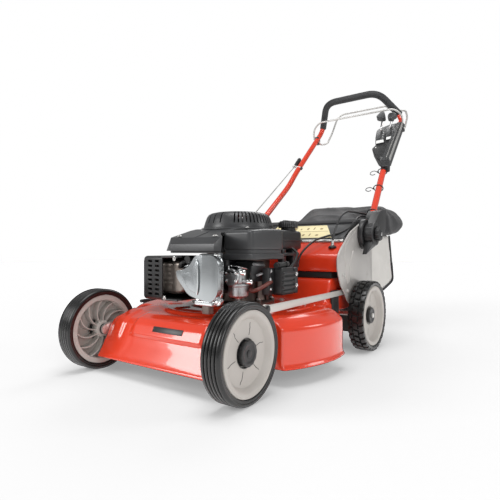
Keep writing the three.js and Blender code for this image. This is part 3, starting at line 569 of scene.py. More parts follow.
# ------------------------------------------------------------------ deck
def deck():
    axis = (0, DECK_AXIS_Y, 0)
    crown = lathe("z", axis, [
        (0, 37), (300, 37), (301, 39), (300, 41.5), (296.5, 43.5), (295, 47), (295, 51), (295, 123),
        (294, 128), (288, 134), (281, 140), (270, 147), (255, 151.7), (0, 151.7)], 180)
    front = boolean(crown, [block(-316, 316, 122, 348, 0, 170)], "INTERSECT")
    back = lathe("z", axis, [
        (0, 37), (295, 37), (295, 123), (288, 134), (270, 147), (255, 151.7), (0, 151.7)], 180)
    back = boolean(back, [block(-222, 222, 330, 561, 0, 170)], "INTERSECT")
    wall = boolean(disc("z", axis, 258, 37, 112, 8, 96), [block(-262, 262, 338, 560, 0, 170)],
        "INTERSECT")
    side = prism("x", [(-31, 37), (-30, 41), (-25, 46), (-6, 79), (15, 120), (26, 131), (62, 143),
        (110, 151.7), (DECK_AXIS_Y, 151.7), (DECK_AXIS_Y, 37)], -195, 195)
    face = prism("y", [(-195, 0), (195, 0), (195, 122), (184, 141), (160, 151.7), (-160, 151.7),
        (-184, 141), (-195, 122)], -60, DECK_AXIS_Y, [0, 0, 12, 20, 20, 20, 20, 12])
    nose = boolean(side, [face], "INTERSECT")
    rear = prism("x", [(330, 124), (330, 151), (398, 151), (432, 219), (600, 219), (600, 124)],
        -217, 217, [0, 0, 20, 14, 0, 0])
    shell = relax(merged([front, back, wall, nose, rear]), 3, 7)

    def is_open(face):
        """Whether a face closes the underside, the tunnel's mouth or the side outlet."""
        c = face.calc_center_median()
        x, y, z = c.x / MM, c.y / MM + MACHINE_MIDDLE_Y, c.z / MM
        under = face.normal.z < -0.6 and (z < 40 or (y > 555 and z < 128))
        tunnel = y > 596 and abs(x) < 150 and 131 < z < 211
        outlet = x < -285 and 240 < y < 336 and 60 < z < 118
        return under or tunnel or outlet

    edit(shell.data, lambda bm: bmesh.ops.delete(bm, geom=[f for f in bm.faces if is_open(f)],
        context="FACES"))

    co, n = design(shell), read(shell, "normal")
    x, y, z = co.T
    r = np.hypot(x, y - DECK_AXIS_Y)
    lift = np.zeros(len(co))
    # a raised panel on the nose, ridges at its corners, the engine's plinth and its spokes
    on_nose = y < 70
    panel = pad(x, -98, 112, 16) * pad(z, 100, 137, 8)
    lift += on_nose * panel * 4.5
    lift += on_nose * (pad(np.abs(x), 150, 172, 14) * pad(z, 96, 150, 22)) * 3.2
    flat_top = ramp(n[:, 2], 0.9, 0.98)
    lift += flat_top * (y < 395) * (1 - ramp(r, 128, 150)) * 5.0
    lift += flat_top * (y < 395) * pad(r, 205, 212, 9) * 3.0
    for angle in range(0, 360, 30):
        a = math.radians(angle + 12)
        across = x * math.sin(a) - (y - DECK_AXIS_Y) * math.cos(a)
        along = x * math.cos(a) + (y - DECK_AXIS_Y) * math.sin(a)
        lift += flat_top * (y < 392) * pad(across, -5, 5, 5) * pad(along, 156, 188, 6) * 2.6
    lift += flat_top * (z > 200) * pad(x, -150, -60, 8) * pad(y, 444, 470, 6) * 2
    push(shell, lift)

    corner = shell.vertex_groups.new(name="corner")
    picked = np.nonzero((np.abs(x) > 262) & (y > 322) & (z > 48))[0]
    corner.add([int(v) for v in picked], 1.0, "REPLACE")
    modify(shell, "SMOOTH", factor=0.5, iterations=12, vertex_group="corner")
    modify(shell, "SOLIDIFY", thickness=2.4 * MM, offset=-1)
    apply(shell)
    finish(shell, "deck_skin", RED, "chassis", "deck_shell", sharp=50)
    # the badge lies on the nose's steep face, given by its foot and its two directions in y and z
    foot, up, out = Vector((-6, 79)), Vector((0.456, 0.89)), Vector((-0.89, 0.456))
    outline = [foot + up * t + out * o for t, o in ((33, 3), (33, 5.6), (46, 5.6), (46, 3))]
    badge = bevel(prism("x", outline, -34, 60), 0.6)
    finish(badge, "nose_badge", BLACK, "chassis")
    for label, side in SIDES:
        hanger = [bevel(sided_block(side, 219, 224, 424, 470, 46, 186), 1.4),
                  bevel(sided_block(side, 215, 231, 420, 452, 30, 52), 3)]
        finish(merged(hanger), f"skirt_hanger_{label}", BLACK, "chassis")
    screws([(sx * 88, 292 + sy * 88, 156) for sx in (-1, 1) for sy in (-1, 1)], "z",
           "engine_bolts", "chassis", ZINC, 6, 5, 9)
    screws([(150, 372, 151.5), (176, 352, 150.5), (205, 350, 150), (120, 386, 151.7),
        (-150, 372, 151.5), (-205, 350, 150)], "z", "deck_bolts", "chassis", ZINC, 4.5, 4, 7)


def tower():
    cover = prism("x", [(436, 237.3), (436, 283), (495, 321), (505, 321), (505, 237.3)], -234.6,
        234.6, [0, 12, 8, 0, 0], 6)
    cover = bevel(cover, 5, 4)
    finish(cover, "rear_cover_skin", RED, "chassis", "rear_cover")
    seal = bevel(clone("chute_seal"), 1.5)
    finish(seal, "seal_band", SOFT_RUBBER, "chassis", "chute_seal")
    grommet = lathe("z", (204, 470, 304), [(3.4, 0), (11, 0), (12, 3), (10, 6), (6, 7.5), (3.4, 9)],
        28)
    finish(grommet, "cable_grommet", SOFT_RUBBER, "chassis")


# ------------------------------------------------------------------ wheels
def ring_arc(r, t, e, a0, a1, steps):
    """Profile points on an arc of radius e about (r, t), from a0 to a1 degrees."""
    return [(r + e * math.cos(math.radians(a0 + (a1 - a0) * k / steps)),
             t + e * math.sin(math.radians(a0 + (a1 - a0) * k / steps))) for k in range(steps + 1)]


def front_tyre(centre):
    top, rim = 99.5, 86
    profile = [(rim, -20.5)] + ring_arc(rim + 4.5, -19.5, 2.4, -100, -70, 2)
    profile += ring_arc(top - 6, -17, 6, -90, -8, 5)
    for g in (-12.5, -4.2, 4.2, 12.5):
        profile += [(top, g - 2.3), (top - 0.5, g - 1.7), (top - 2.8, g - 1.1),
            (top - 2.8, g + 1.1), (top - 0.5, g + 1.7), (top, g + 2.3)]
    profile += ring_arc(top - 6, 17, 6, 8, 90, 5)
    profile += ring_arc(rim + 4.5, 19.5, 2.4, 70, 100, 2) + [(rim, 20.5)]
    return lathe("x", centre, profile, 144)


def rear_tyre(centre):
    """Staggered lugs stand off a rounded carcass, all in one closed surface."""
    x, y, z = centre
    rim, top, carcass, half = 89.6, 103.5, 98.6, 22.6
    edge = [(rim, -20.5), (rim + 4, -22.2), (96.5, -23)]
    around, pitches = 576, 30
    lanes = (-half, -9.6, 0.0), (-7.4, 7.4, 0.5), (9.6, half, 0.0)
    across = np.linspace(-half, half, 48)
    verts = []
    profile_t = [e[1] for e in edge] + list(across) + [-e[1] for e in edge[::-1]]
    profile_r = [e[0] for e in edge] + [None] * len(across) + [e[0] for e in edge[::-1]]
    for q in range(around):
        angle = 2 * math.pi * q / around
        for r, t in zip(profile_r, profile_t):
            if r is None:
                crown = top - 1.2 * (abs(t) / half) ** 3
                lug = 0.0
                for a, b, turn in lanes:
                    phase = (q / around * pitches + turn + 0.012 * t * (-1 if turn else 1)) % 1
                    inside_t = min(max((t - a + 0.2) / 1.0, 0),
                        1) * min(max((b - t + 0.2) / 1.0, 0), 1)
                    inside_a = min(max((phase - 0.02) / 0.05, 0),
                        1) * min(max((0.74 - phase) / 0.05, 0), 1)
                    lug = max(lug, inside_t * inside_a)
                base = carcass - 1.5 * (abs(t) / half) ** 4
                r = base + (crown - base) * lug
            verts.append((x + t, *polar((y, z), r, angle)))
    n = len(profile_t)
    faces = []
    for q in range(around):
        p = (q + 1) % around
        for k in range(n):
            m = (k + 1) % n
            faces.append((q * n + k, p * n + k, p * n + m, q * n + m))
    return new_object(verts, faces)


def wheel(label, side, front):
    body = f"{'front' if front else 'rear'}_wheel_{label}"
    tag = f"{'front' if front else 'rear'}_{label}"
    centre = x, y, z = FRONT_WHEEL if front else REAR_WHEEL
    rim, cap, depth = (86, 26, 9) if front else (89.6, 24, 5)

    def settle(obj, name, mat, *rest):
        """Finishes a left wheel's piece, or turns it round to the right side first."""
        if side < 0:
            middle = place((0, y, 0))
            half_turn = Matrix.Rotation(math.pi, 4, "Z")
            obj.data.transform(Matrix.Translation(middle) @ half_turn @ Matrix.Translation(-middle))
        slot = "tyre_rubber" if mat is RUBBER else "wheel_plastic"
        return finish(obj, f"{name}_{tag}", mat, body, *rest, slot=slot)

    settle((front_tyre if front else rear_tyre)(centre), "tread", RUBBER, f"tyre_{tag}", 40)
    lip = rim - 1.2
    profile = [(7, -19), (15, -20), (19, -19), (20.5, -16), (21, 4), (64, 5), (70, 3), (72, -16),
        (74, -19.5), (lip, -19.5), (lip, 19.5), (lip - 1, 21.5)]
    profile += [(lip - 4, 22.3), (lip - 10, 21.6), (lip - 12.5, 20), (lip - 17, depth + 4),
        (lip - 19.5, depth + 1), (lip - 23, depth), (cap + 4, depth), (cap + 3, depth - 1),
        (cap + 3, depth - 9), (12, depth - 9), (7, depth - 9)]
    rim_disc = lathe("x", centre, profile, 96)
    if front:
        # black lines on the grey rim's face: painted shade standing for the shade inside its
        # hairline grooves
        groove_shade_lines = []
        for k in range(6):
            a = math.radians(60 * k + 14)
            kink = 0.045 if k % 2 else -0.045
            line = [(x + depth + 0.15, *polar((y, z), r, a + d)) for r, d in (
                (cap + 9, 0), (cap + 24, 0.01), (cap + 29, kink), (lip - 25, kink))]
            groove_shade_lines.append(sweep(line, 0.55, 6))
        settle(merged(groove_shade_lines), "rim_groove_shade", BLACK)
    else:
        bosses = []
        for k in range(6):
            a, w = math.radians(60 * k + 20), 0.05
            outline = [polar((y, z), r, b) for r, b in ((cap + 14, a - w), (lip - 27, a - w * .8),
                (lip - 27, a + w * .8), (cap + 14, a + w))]
            bosses.append(prism("x", fillet(outline, 2), x + depth - 2, x + depth + 0.9))
        rim_disc = merged([rim_disc] + bosses)
    settle(rim_disc, "rim_disc", GREY, f"rim_{tag}")
    ribs = []
    for k in range(12):
        a = 2 * math.pi * k / 12
        outer = [polar((y, z), 19 + step / 8 * 54, a + 0.5 * (step / 8) ** 1.6)
            for step in range(9)]
        ring = []
        for sgn in (1, -1):
            seq = outer if sgn > 0 else outer[::-1]
            for i, p in enumerate(seq):
                j = i if sgn > 0 else len(outer) - 1 - i
                q0, q1 = outer[max(j - 1, 0)], outer[min(j + 1, 8)]
                d = Vector((q1[0] - q0[0], q1[1] - q0[1])).normalized()
                ring.append((p[0] - d.y * 1.1 * sgn, p[1] + d.x * 1.1 * sgn))
        ribs.append(prism("x", ring, x - 16.5, x + 4.5))
    settle(merged(ribs), "rim_ribs", GREY)
    scallops = []
    for k in range(96):
        a = 2 * math.pi * k / 96
        scallops.append(polar((y, z), cap - 1.3 + 1.1 * abs(math.cos(a * 6)) ** 0.6, a))
    face = depth + 9
    cover = bevel(prism("x", scallops, x + depth - 9.5, x + face), 1.6, 3)
    dish = lathe("x", centre, [(0, face - 1.2), (14, face - 1), (17, face - 0.5),
        (18.5, face + 0.4), (18.5, face + 4), (0, face + 4)], 48)
    boolean(cover, [dish])
    well = lathe("x", centre, [(cap + 2.9, depth - 9), (cap + 3.3, depth + 0.4),
        (cap + 2.2, depth + 0.4), (cap + 1.8, depth - 8.4), (12, depth - 8.4), (12, depth - 9)], 64)
    middle = disc("x", centre, 7.5, face - 2, face + 0.4, 1.2, 40)
    settle(merged([cover, middle, well]), "hub_cap", BLACK)
    hub = lathe("x", centre, [(6.6, -19.6), (12, -19.6), (13.5, -21), (13.5, -22.4), (6.6, -22.4)],
        40)
    settle(hub, "hub_seal", BLACK)


# ------------------------------------------------------------------ running gear
def running_gear():
    for node, body, mat, width in (
            ("front_crank_axle", "front_crank", ZINC, 0.8),
            ("rear_crank_axle", "rear_crank", ZINC, 0.8),
            ("gearbox", "rear_crank", ROUGH_ALU, 4),
            ("drive_belt", "rear_crank", SOFT_RUBBER, 0),
            ("gearbox_pulley", "gearbox_pulley", STEEL, 0),
            ("blade_adapter", "crank", STEEL, 0),
            ("blade", "crank", STEEL, 0.8),
            ("crankshaft", "crank", STEEL, 0),
            ("flywheel", "crank", ROUGH_ALU, 0),
            ("trail_shield", "trail_shield", SOFT_RUBBER, 0.8),
            ("side_discharge_flap", "side_discharge_flap", BLACK, 0.8)):
        obj = clone(node)
        if width:
            bevel(obj, width, 2)
        finish(obj, f"{node}_skin", mat, body, node)
    x0, x1 = (corner[0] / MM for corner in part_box("height_link"))
    bar = prism("x", [(70, 168), (86, 164), (440, 169), (560, 172), (690, 186), (702, 198),
        (694, 212), (676, 212), (560, 188), (440, 184), (96, 182), (76, 186), (66, 178)], x0, x1, 8,
        5)
    finish(bevel(bar, 0.9, 3), "height_link_bar", LINK, "height_link", "height_link")
    for end, y, z, washer in (("front", 85, 174, 9), ("rear", 687, 199, 10)):
        nut = hex_bolt((231.8, y, z), "x", 6, 4, washer)
        finish(nut, f"{end}_pin_nut", BLACK, f"{end}_crank", slot="zinc_steel")


# ------------------------------------------------------------------ engine
def scallop(centre, radius, depth, lobes, count, power=1.0):
    """A round outline with lobes, which are depth high."""
    ring = []
    for k in range(count):
        a = 2 * math.pi * k / count
        ring.append(polar(centre, radius - depth * (1 - abs(math.cos(a * lobes / 2)) ** power), a))
    return ring


def spoke(angle, inner, outer, z0, z1):
    """A bar across the crank's axis; inner and outer are a radius and half a width there."""
    along, side = Vector((math.cos(angle), math.sin(angle))), Vector((-math.sin(angle),
        math.cos(angle)))
    quad = [Vector((0, CRANK_Y)) + along * r + side * s
            for r, s in ((inner[0], -inner[1]), (outer[0], -outer[1]), outer, inner)]
    return prism("z", quad, z0, z1)


def recoil_starter():
    centre = (0, CRANK_Y, 0)
    dome = lathe("z", centre, [
        (97.5, 356.4), (97.5, 363), (96, 367), (92, 380), (88.5, 389), (84, 395.5), (77, 399.5),
        (66, 402), (63, 402.6), (61, 401.4), (59, 401.4), (57, 403), (36, 403.8), (34.5, 404.6),
        (0, 404.8), (0, 400), (58, 398.4), (78, 394), (84, 387), (91, 366), (92, 356.4)], 128)
    turns = [-60 + 6.6 * k for k in range(29)] + [-84, -98, -112, 150, 165]
    boolean(dome, [spoke(math.radians(turn), (66, 1.5), (102, 2.2), 371, 412) for turn in turns])
    finish(dome, "recoil_dome", DARK, "chassis", "recoil_cover")
    collar = lathe("z", centre, [(96, 352.5), (103, 352.5), (104, 354.5), (103, 357), (98.5, 358.2),
        (96, 358)], 96)
    finish(collar, "recoil_collar", DARK, "chassis")
    ring = [(*polar(centre, 100.5, a), 357) for a in (-2.3, -0.7, 0.9, 2.5)]
    screws(ring, "z", "recoil_screws", "chassis", ZINC, 3.4, 3, 5)


def blower_housing():
    obj = clone("fan_shroud")
    x, y, z = design(obj).T
    front = 1 - ramp(y, 90, 200)
    x = x - front * (x < 10) * np.clip(342 - z, 0, 50) * 0.34 + front * (x < 10) * 9
    y = y - (y < 66) * np.clip(330 - z, 0, 40) * 0.14
    set_design(obj, x, y, z)
    finish(bevel(obj, 7, 5), "fan_shroud_skin", DARK, "chassis", "fan_shroud")
    ridge = bevel(prism("z", [(56, 40), (60, 41), (24, 130), (18, 150), (12, 150), (18, 130)], 300,
        345), 1)
    roof = prism("x", [(30, 300), (42.6, 300), (45.6, 311), (59, 329.5), (150, 347.2), (170, 348),
        (170, 290), (30, 290)], -60, 150)
    boolean(ridge, [roof], "INTERSECT")
    finish(ridge, "shroud_crease", DARK, "chassis")
    skirt = prism("z", [(-38, 66), (-13, 49), (118, 49), (126, 60), (100, 90), (60, 76), (-30, 78)],
        292, 299, 4)
    finish(bevel(skirt, 1.2), "shroud_lip", BLACK, "chassis")
    screws([(-6, 66, 331.5), (108, 62, 330)], "z", "shroud_screws", "chassis", ZINC, 4, 3.5, 6.5)


def air_cleaner():
    def plan(t):
        """The cover's outline in x and y, t inside its edge."""
        return [(78 + t, 122 + t), (165 - t, 122 + t), (165 - t, 266 - t), (94 + t, 266 - t),
            (78 + t, 238)]

    roof = prism("x", [(100, 260), (100, 342), (180, 349), (280, 352.5), (280, 260)], 60, 190)
    body = boolean(prism("z", plan(0), 297, 360, 15, 6), [roof], "INTERSECT")
    body = bevel(body, 8, 6, 35)
    lip = bevel(prism("z", plan(-3.5), 276, 290, 17, 6), 2.5, 3)
    neck = prism("z", plan(3), 288, 300, 13, 6)
    bosses = [disc("z", (x, y, 0), 6.5, z, z + 4, 1.6, 24)
        for x, y, z in ((104, 146, 342), (146, 236, 347))]
    finish(merged([body, lip, neck] + bosses), "air_cleaner_shell", DARK, "chassis",
        ("air_cleaner_cover", "air_filter"))


def fuel_system():
    def plan(t):
        """The tank's outline in x and y, t outside its edge."""
        return [(40 - t, 271 - t), (146 + t, 271 - t), (146 + t, 408 + t), (40 - t, 408 + t)]

    body = bevel(prism("z", plan(-1.5), 300, 352, 24, 6), 9, 5)
    seam = bevel(prism("z", plan(1.5), 323, 327.5, 26, 6), 1, 2)
    neck = lathe("z", (112, 376, 0), [(0, 348), (25, 348), (24, 353), (20.5, 354.5), (20.5, 360.6),
        (0, 360.6)], 48)
    finish(merged([body, seam, neck]), "fuel_tank_shell", BLACK, "chassis", "fuel_tank")
    cap = bevel(prism("z", scallop((112, 376), 28, 1.7, 30, 180), 361.4, 377), 1.2, 2)
    crown = [disc("z", (112, 376, 0), 24.5, 376, 380, 2.2, 48),
             bevel(block(106, 118, 354, 398, 378, 382), 1.6)]
    finish(merged([cap] + crown), "fuel_cap_knob", BLACK, "fuel_cap", "fuel_cap")

    canister = [bevel(prism("x", [(198, 191), (258, 191), (258, 257), (198, 257)], 173, 199, 6), 2,
        3)]
    for z in (196, 207, 218, 229, 240):
        canister.append(bevel(prism("x", [(200, z), (255, z), (255, z + 6.4), (200, z + 6.4)], 196,
            203.6, 2), 1.2))
    canister.append(bevel(prism("x", [(255, 192), (272, 192), (272, 256), (255, 256)], 176, 201, 4),
        1.5))
    canister.append(bevel(block(150, 176, 200, 250, 196, 214), 1.5))
    canister.append(bevel(block(158, 176, 172, 200, 192, 256), 2))
    canister += [bevel(block(126, 142, 296, 314, 240, 302), 2),
        bevel(block(126, 142, 350, 366, 240, 302), 2), bevel(block(120, 150, 290, 372, 284, 292),
        2)]
    bracket = [bevel(block(74, 134, 384, 392, 236, 306), 2)]
    bracket += [bevel(block(x, x + 7, 378, 388, 236, 304), 1.5) for x in (78, 96, 114, 126)]
    bracket.append(bevel(block(-2, 50, 205, 216, 286, 336), 2))
    finish(merged(bracket), "tank_bracket", BLACK, "chassis")
    finish(merged(canister), "vapour_canister", BLACK, "chassis", "evap_canister")
    screws([(176, 186, 206), (176, 184, 228), (176, 188, 248)], "x", "bracket_screws", "chassis",
        CHROME, 3.4, 3, 5)
    screws([(201, 264, 212), (201, 264, 240)], "x", "canister_screws", "chassis", CHROME, 3.6, 2.6,
        5.4)
    stub = sweep([(186, 190, 262), (186, 246, 264)], 6.5, 20)
    clips = []
    for y in (196, 232):
        z = (y - 190) * 0.036
        clips.append(sweep([(186, y, 262 + z), (186, y + 5, 262.2 + z)], 8.2, 20))
    finish(merged([stub] + clips), "vapour_hose", SOFT_RUBBER, "chassis")
    hose = smooth_line([(140, 152, 206), (152, 140, 204), (168, 140, 208), (176, 158, 216),
        (176, 186, 224)], 7)
    finish(sweep(hose, 4.6, 16), "fuel_hose", HOSE, "chassis")
    vent = smooth_line([(150, 330, 304), (168, 326, 290), (176, 300, 270), (176, 272, 252),
        (180, 262, 246)], 7)
    finish(sweep(vent, 3.4, 14), "vent_hose", SOFT_RUBBER, "chassis")


def carburettor():
    x, y = 118, 134
    bowl = lathe("z", (x, y, 0), [(0, 184.5), (8, 184.5), (9, 187), (19, 188.5), (23, 192),
        (24, 199), (24, 213), (26, 215), (26, 220), (22, 222), (0, 222)], 56)
    core = bevel(prism("z", [(97, 112), (140, 112), (140, 157), (97, 157)], 221, 251, 7), 3, 3)
    throat = lathe("y", (x, 0, 236), [(0, 104), (19, 104), (20, 106), (20, 111), (15, 113),
        (15, 166), (21, 168), (21, 176), (0, 176)], 48)
    flange = bevel(prism("y", [(92, 226), (118, 214), (144, 226), (144, 246), (118, 258),
        (92, 246)], 158, 163, 6), 0.8)
    ears = [bevel(block(92, 100, 116, 150, 226, 246), 2), disc("z", (132, 120, 0), 6, 250, 256, 1,
        24)]
    finish(merged([bowl, core, throat, flange] + ears), "carburettor_body", ROUGH_ALU, "chassis",
        "carburettor")
    rod = [sweep([(88, 106, 248), (156, 106, 248)], 3, 14)]
    rod += [disc("x", (0, 106, 248), 6.5, a, b, 2, 24) for a, b in ((84, 94), (148, 158))]
    rod += [disc("x", (0, 128, 226), 6, 148, 162, 2, 24), sweep([(138, 128, 226), (150, 128, 226)],
        3, 12)]
    rod += [sweep([(100, 118, 262), (128, 112, 262), (150, 124, 256)], 1.4, 8, bend=8),
            sweep([(106, 112, 254), (106, 112, 272)], 2.2, 10)]
    finish(merged(rod), "choke_shaft", CHROME, "chassis", slot="cast_aluminium")
    screws([(104, 104, 228), (132, 104, 228), (104, 104, 246), (132, 104, 246)], "-y",
        "carburettor_screws", "chassis", CHROME, 2.8, 3, 4.4)
    dark = [bevel(block(146, 152, 140, 196, 224, 262), 1.4),
        bevel(block(94, 110, 100, 112, 262, 276), 1.6),
        bevel(prism("z", [(88, 160), (150, 160), (150, 200), (88, 200)], 226, 272, 8), 3)]
    finish(merged(dark), "governor_case", BLACK, "chassis")
    springs = []
    for a, b, turns, width in (((152, 148, 266), (152, 192, 262), 16, 3.2),
            ((160, 150, 240), (160, 184, 246), 12, 2.6)):
        line = []
        for k in range(turns * 10 + 1):
            t = k / (turns * 10)
            angle = 2 * math.pi * k / 10
            line.append((a[0] + width * math.cos(angle), a[1] + (b[1] - a[1]) * t, a[2]
                + (b[2] - a[2]) * t + width * math.sin(angle)))
        springs.append(sweep(line, 0.7, 6))
    finish(merged(springs), "governor_springs", STEEL, "chassis")


def engine_castings():
    case = lathe("z", (0, CRANK_Y, 0), [(0, 152), (100, 152), (100.5, 153.5), (100, 160),
        (96, 162.5), (91, 166), (87, 180), (86, 236), (91, 238), (92, 243), (87, 245), (88, 288),
        (90, 290), (90, 294), (0, 294)], 96)
    turns = 0.35, 1.2, -0.35, 2.0, 2.8, -0.95
    middle = 0, CRANK_Y
    bosses = [disc("z", (*polar(middle, 94, a), 0), 9, 153, 168, 2, 24) for a in (*turns, -2.9)]
    ribs = [spoke(2 * math.pi * k / 18, (80, 1.6), (94.5, 1.4), 160, 236) for k in range(18)]
    finish(merged([case] + bosses + ribs), "crankcase_casting", CASTING, "chassis", "crankcase")
    screws([(*polar(middle, 94, a), 168) for a in turns], "z", "crankcase_screws", "chassis", ZINC,
        4.6, 4, 6.5)
    finish(bevel(clone("cylinder_block"), 0.8), "cylinder_fins", BLACK, "chassis",
           "cylinder_block")

    head = prism("y", [(-4, 250), (1, 232), (36, 195), (60, 189), (102, 181), (117, 200),
        (119, 270), (108, 287), (58, 287), (40, 263), (20, 253)], 50, 76,
        [5, 6, 14, 8, 10, 12, 12, 8, 10, 14, 6], 6)
    boolean(head, [prism("z", [(76, 30), (140, 30), (140, 64), (76, 49.4)], 150, 320)])
    head = bevel(head, 4.5, 5, 12)
    panel = bevel(prism("y", [(12, 244), (40, 207), (68, 199), (68, 276), (62, 276), (44, 250)],
        48.2, 51, 7), 1.2, 3)
    flange = bevel(prism("y", [(-9, 246), (-3, 221), (34, 187), (98, 175.5), (115, 193), (117, 275),
        (107, 291), (52, 291), (30, 267), (0, 261)], 73, 81.4, 9, 6), 1.2, 2)
    ears = [disc("y", (x, 0, z), 9, 70, 81, 1.5, 28) for x, z in ((-4, 241), (52, 186), (108, 183),
        (106, 288))]
    base = bevel(prism("z", [(44, 58), (104, 58), (104, 82), (44, 82)], 172, 184, 8), 3, 3)
    post = bevel(prism("z", [(66, 62), (90, 62), (90, 80), (66, 80)], 153, 173, 5), 2)
    finish(post, "cylinder_foot", CASTING, "chassis")
    # the valve cover's face takes the darker aluminium, whose colour is painted shade
    finish(merged([head, panel]), "valve_cover", SHADED_ALU, "chassis", "cylinder_head_cover")
    edges = [sweep(smooth_line(line, 5), 2.1, 12) for line in (
        [(64, 49, 278), (68, 47.5, 262), (68, 47.5, 214), (64, 49, 198)],
        [(99, 61, 284), (104, 60, 268), (104, 60, 206), (97, 61, 190)])]
    finish(merged([flange, base] + ears + edges), "valve_cover_flange", ALU, "chassis")
    screws([(-4, 70, 241), (52, 70, 186), (108, 70, 183), (106, 70, 288)], "-y",
        "valve_cover_screws", "chassis", CHROME, 4.4, 5, 7)
    lead = smooth_line([(18, 70, 276), (8, 58, 268), (-6, 66, 258), (-14, 90, 262),
        (-16, 130, 280)], 6)
    boot = [sweep(lead, 4, 14), disc("y", (22, 0, 277), 9, 62, 82, 3, 28)]
    finish(merged(boot), "spark_lead", SOFT_RUBBER, "chassis")


def exhaust():
    can = bevel(prism("y", [(-119, 189), (-13, 189), (-13, 272), (-119, 272)], 85, 185, 22, 6), 11,
        5)
    seam = bevel(prism("y", [(-120, 187.5), (-11.5, 187.5), (-11.5, 273.5), (-120, 273.5)], 133,
        137, 23, 6), 1, 2)
    neck = sweep([(-16, 128, 226), (12, 128, 226)], 13, 24)
    finish(merged([can, seam, neck]), "muffler_can", CAN, "chassis", "muffler")
    guard = bevel(block(-130.5, -6, 59.5, 200, 175.5, 284.5), 9, 5)
    cuts = [bevel(block(-127, 20, 63, 190, 179, 281), 7, 4), block(-60, 20, 40, 76, 160, 300),
            block(-80, 20, 170, 220, 185, 275)]
    for x in (-111, -86):
        for k in range(8):
            z = 188 + k * 11.6
            cuts.append(prism("y", [(x, z), (x + 15, z - 1), (x + 15, z + 4.6), (x, z + 5.6)], 50,
                70, 1.5, 3))
    boolean(guard, cuts)
    finish(guard, "muffler_guard_skin", BLACK, "chassis", "muffler_guard")
    rolls = [sweep([(-62, 61, z), (-8, 61, z)], 2.4, 10) for z in (178, 282)]
    finish(merged(rolls), "guard_rolled_edge", BLACK, "chassis")
    screws([(-52, 60, 181.5), (-18, 60, 278.5)], "-y", "guard_screws", "chassis", ZINC, 3.6, 3, 5.4)


# ------------------------------------------------------------------ side plates and clamps
OUTWARD = {1: "x", -1: "-x"}


def sided(side, profile):
    """A lathe profile whose places along x count outward on either side."""
    return [(r, t * side) for r, t in profile]


def sided_prism(side, *rest):
    """A prism on the left for side 1, or its mirror image on the right for side -1."""
    obj = prism(*rest)
    if side < 0:
        obj.data.transform(Matrix.Scale(-1, 4, (1, 0, 0)))
        obj.data.flip_normals()
    return obj


def side_plates():
    for label, side in SIDES:
        outline = [(427, 275), (429, 242), (449, 203), (470, 184), (500, 150), (545, 130),
            (628, 130), (644, 100), (700, 100), (708, 150), (702, 300), (682, 340), (655, 376),
            (640, 389), (625, 391), (514, 348), (444, 297)]
        plate = bevel(prism("x", outline, 235 * side, 238 * side, 10), 0.8, 2)
        face = PLATE_X * side
        rolled = fillet([(face, 470, 184), (face, 449, 203), (face, 429, 242), (face, 427, 275),
            (face, 444, 297), (face, 514, 348), (face, 625, 391)], 16, 5, False)
        edge = sweep(rolled, 2.6, 12)
        lines = [smooth_line([(face, 559, 357), (face, 498, 323), (face, 478, 297),
            (face, 480, 270), (face, 487, 245), (face, 498, 203)], 6),
            smooth_line([(face, 540, 296), (face, 520, 262), (face, 512, 232), (face, 509, 205)],
            6)]
        ridges = [sweep(line, 2.2, 10, flat=0.8) for line in lines]
        dimples = []
        button = sided(side, [(0, 1.7), (2.4, 1.3), (4, 0.3), (4, -0.6), (0, -0.6)])
        for y, z in ((540, 327), (487, 306), (452, 281), (452, 261), (520, 239), (600, 372),
                (660, 220), (690, 130)):
            dimples.append(lathe("x", (face, y, z), button, 20))
        foot = bevel(sided_block(side, 217, 236, 484, 592, 210.3, 217), 1)
        finish(merged([plate, edge, foot] + ridges + dimples), f"side_plate_{label}_skin", PLATE,
            "chassis", f"side_plate_{label}", 40)
        bolts = [(238.4 * side, y, z) for y, z in ((500, 180), (630, 160), (470, 226))]
        screws(bolts, OUTWARD[side], f"plate_bolts_{label}", "chassis", ZINC, 4.4, 4, 7)


def ring_of_teeth(centre, count, inner, outer, x0, x1):
    """Wedges round centre; inner and outer are a radius and half an angle there."""
    teeth = []
    for k in range(count):
        a = 2 * math.pi * k / count
        quad = [polar(centre, r, a + w)
                for r, w in ((inner[0], -inner[1]), (outer[0], -outer[1]), outer, inner)]
        teeth.append(prism("x", quad, x0, x1))
    return teeth


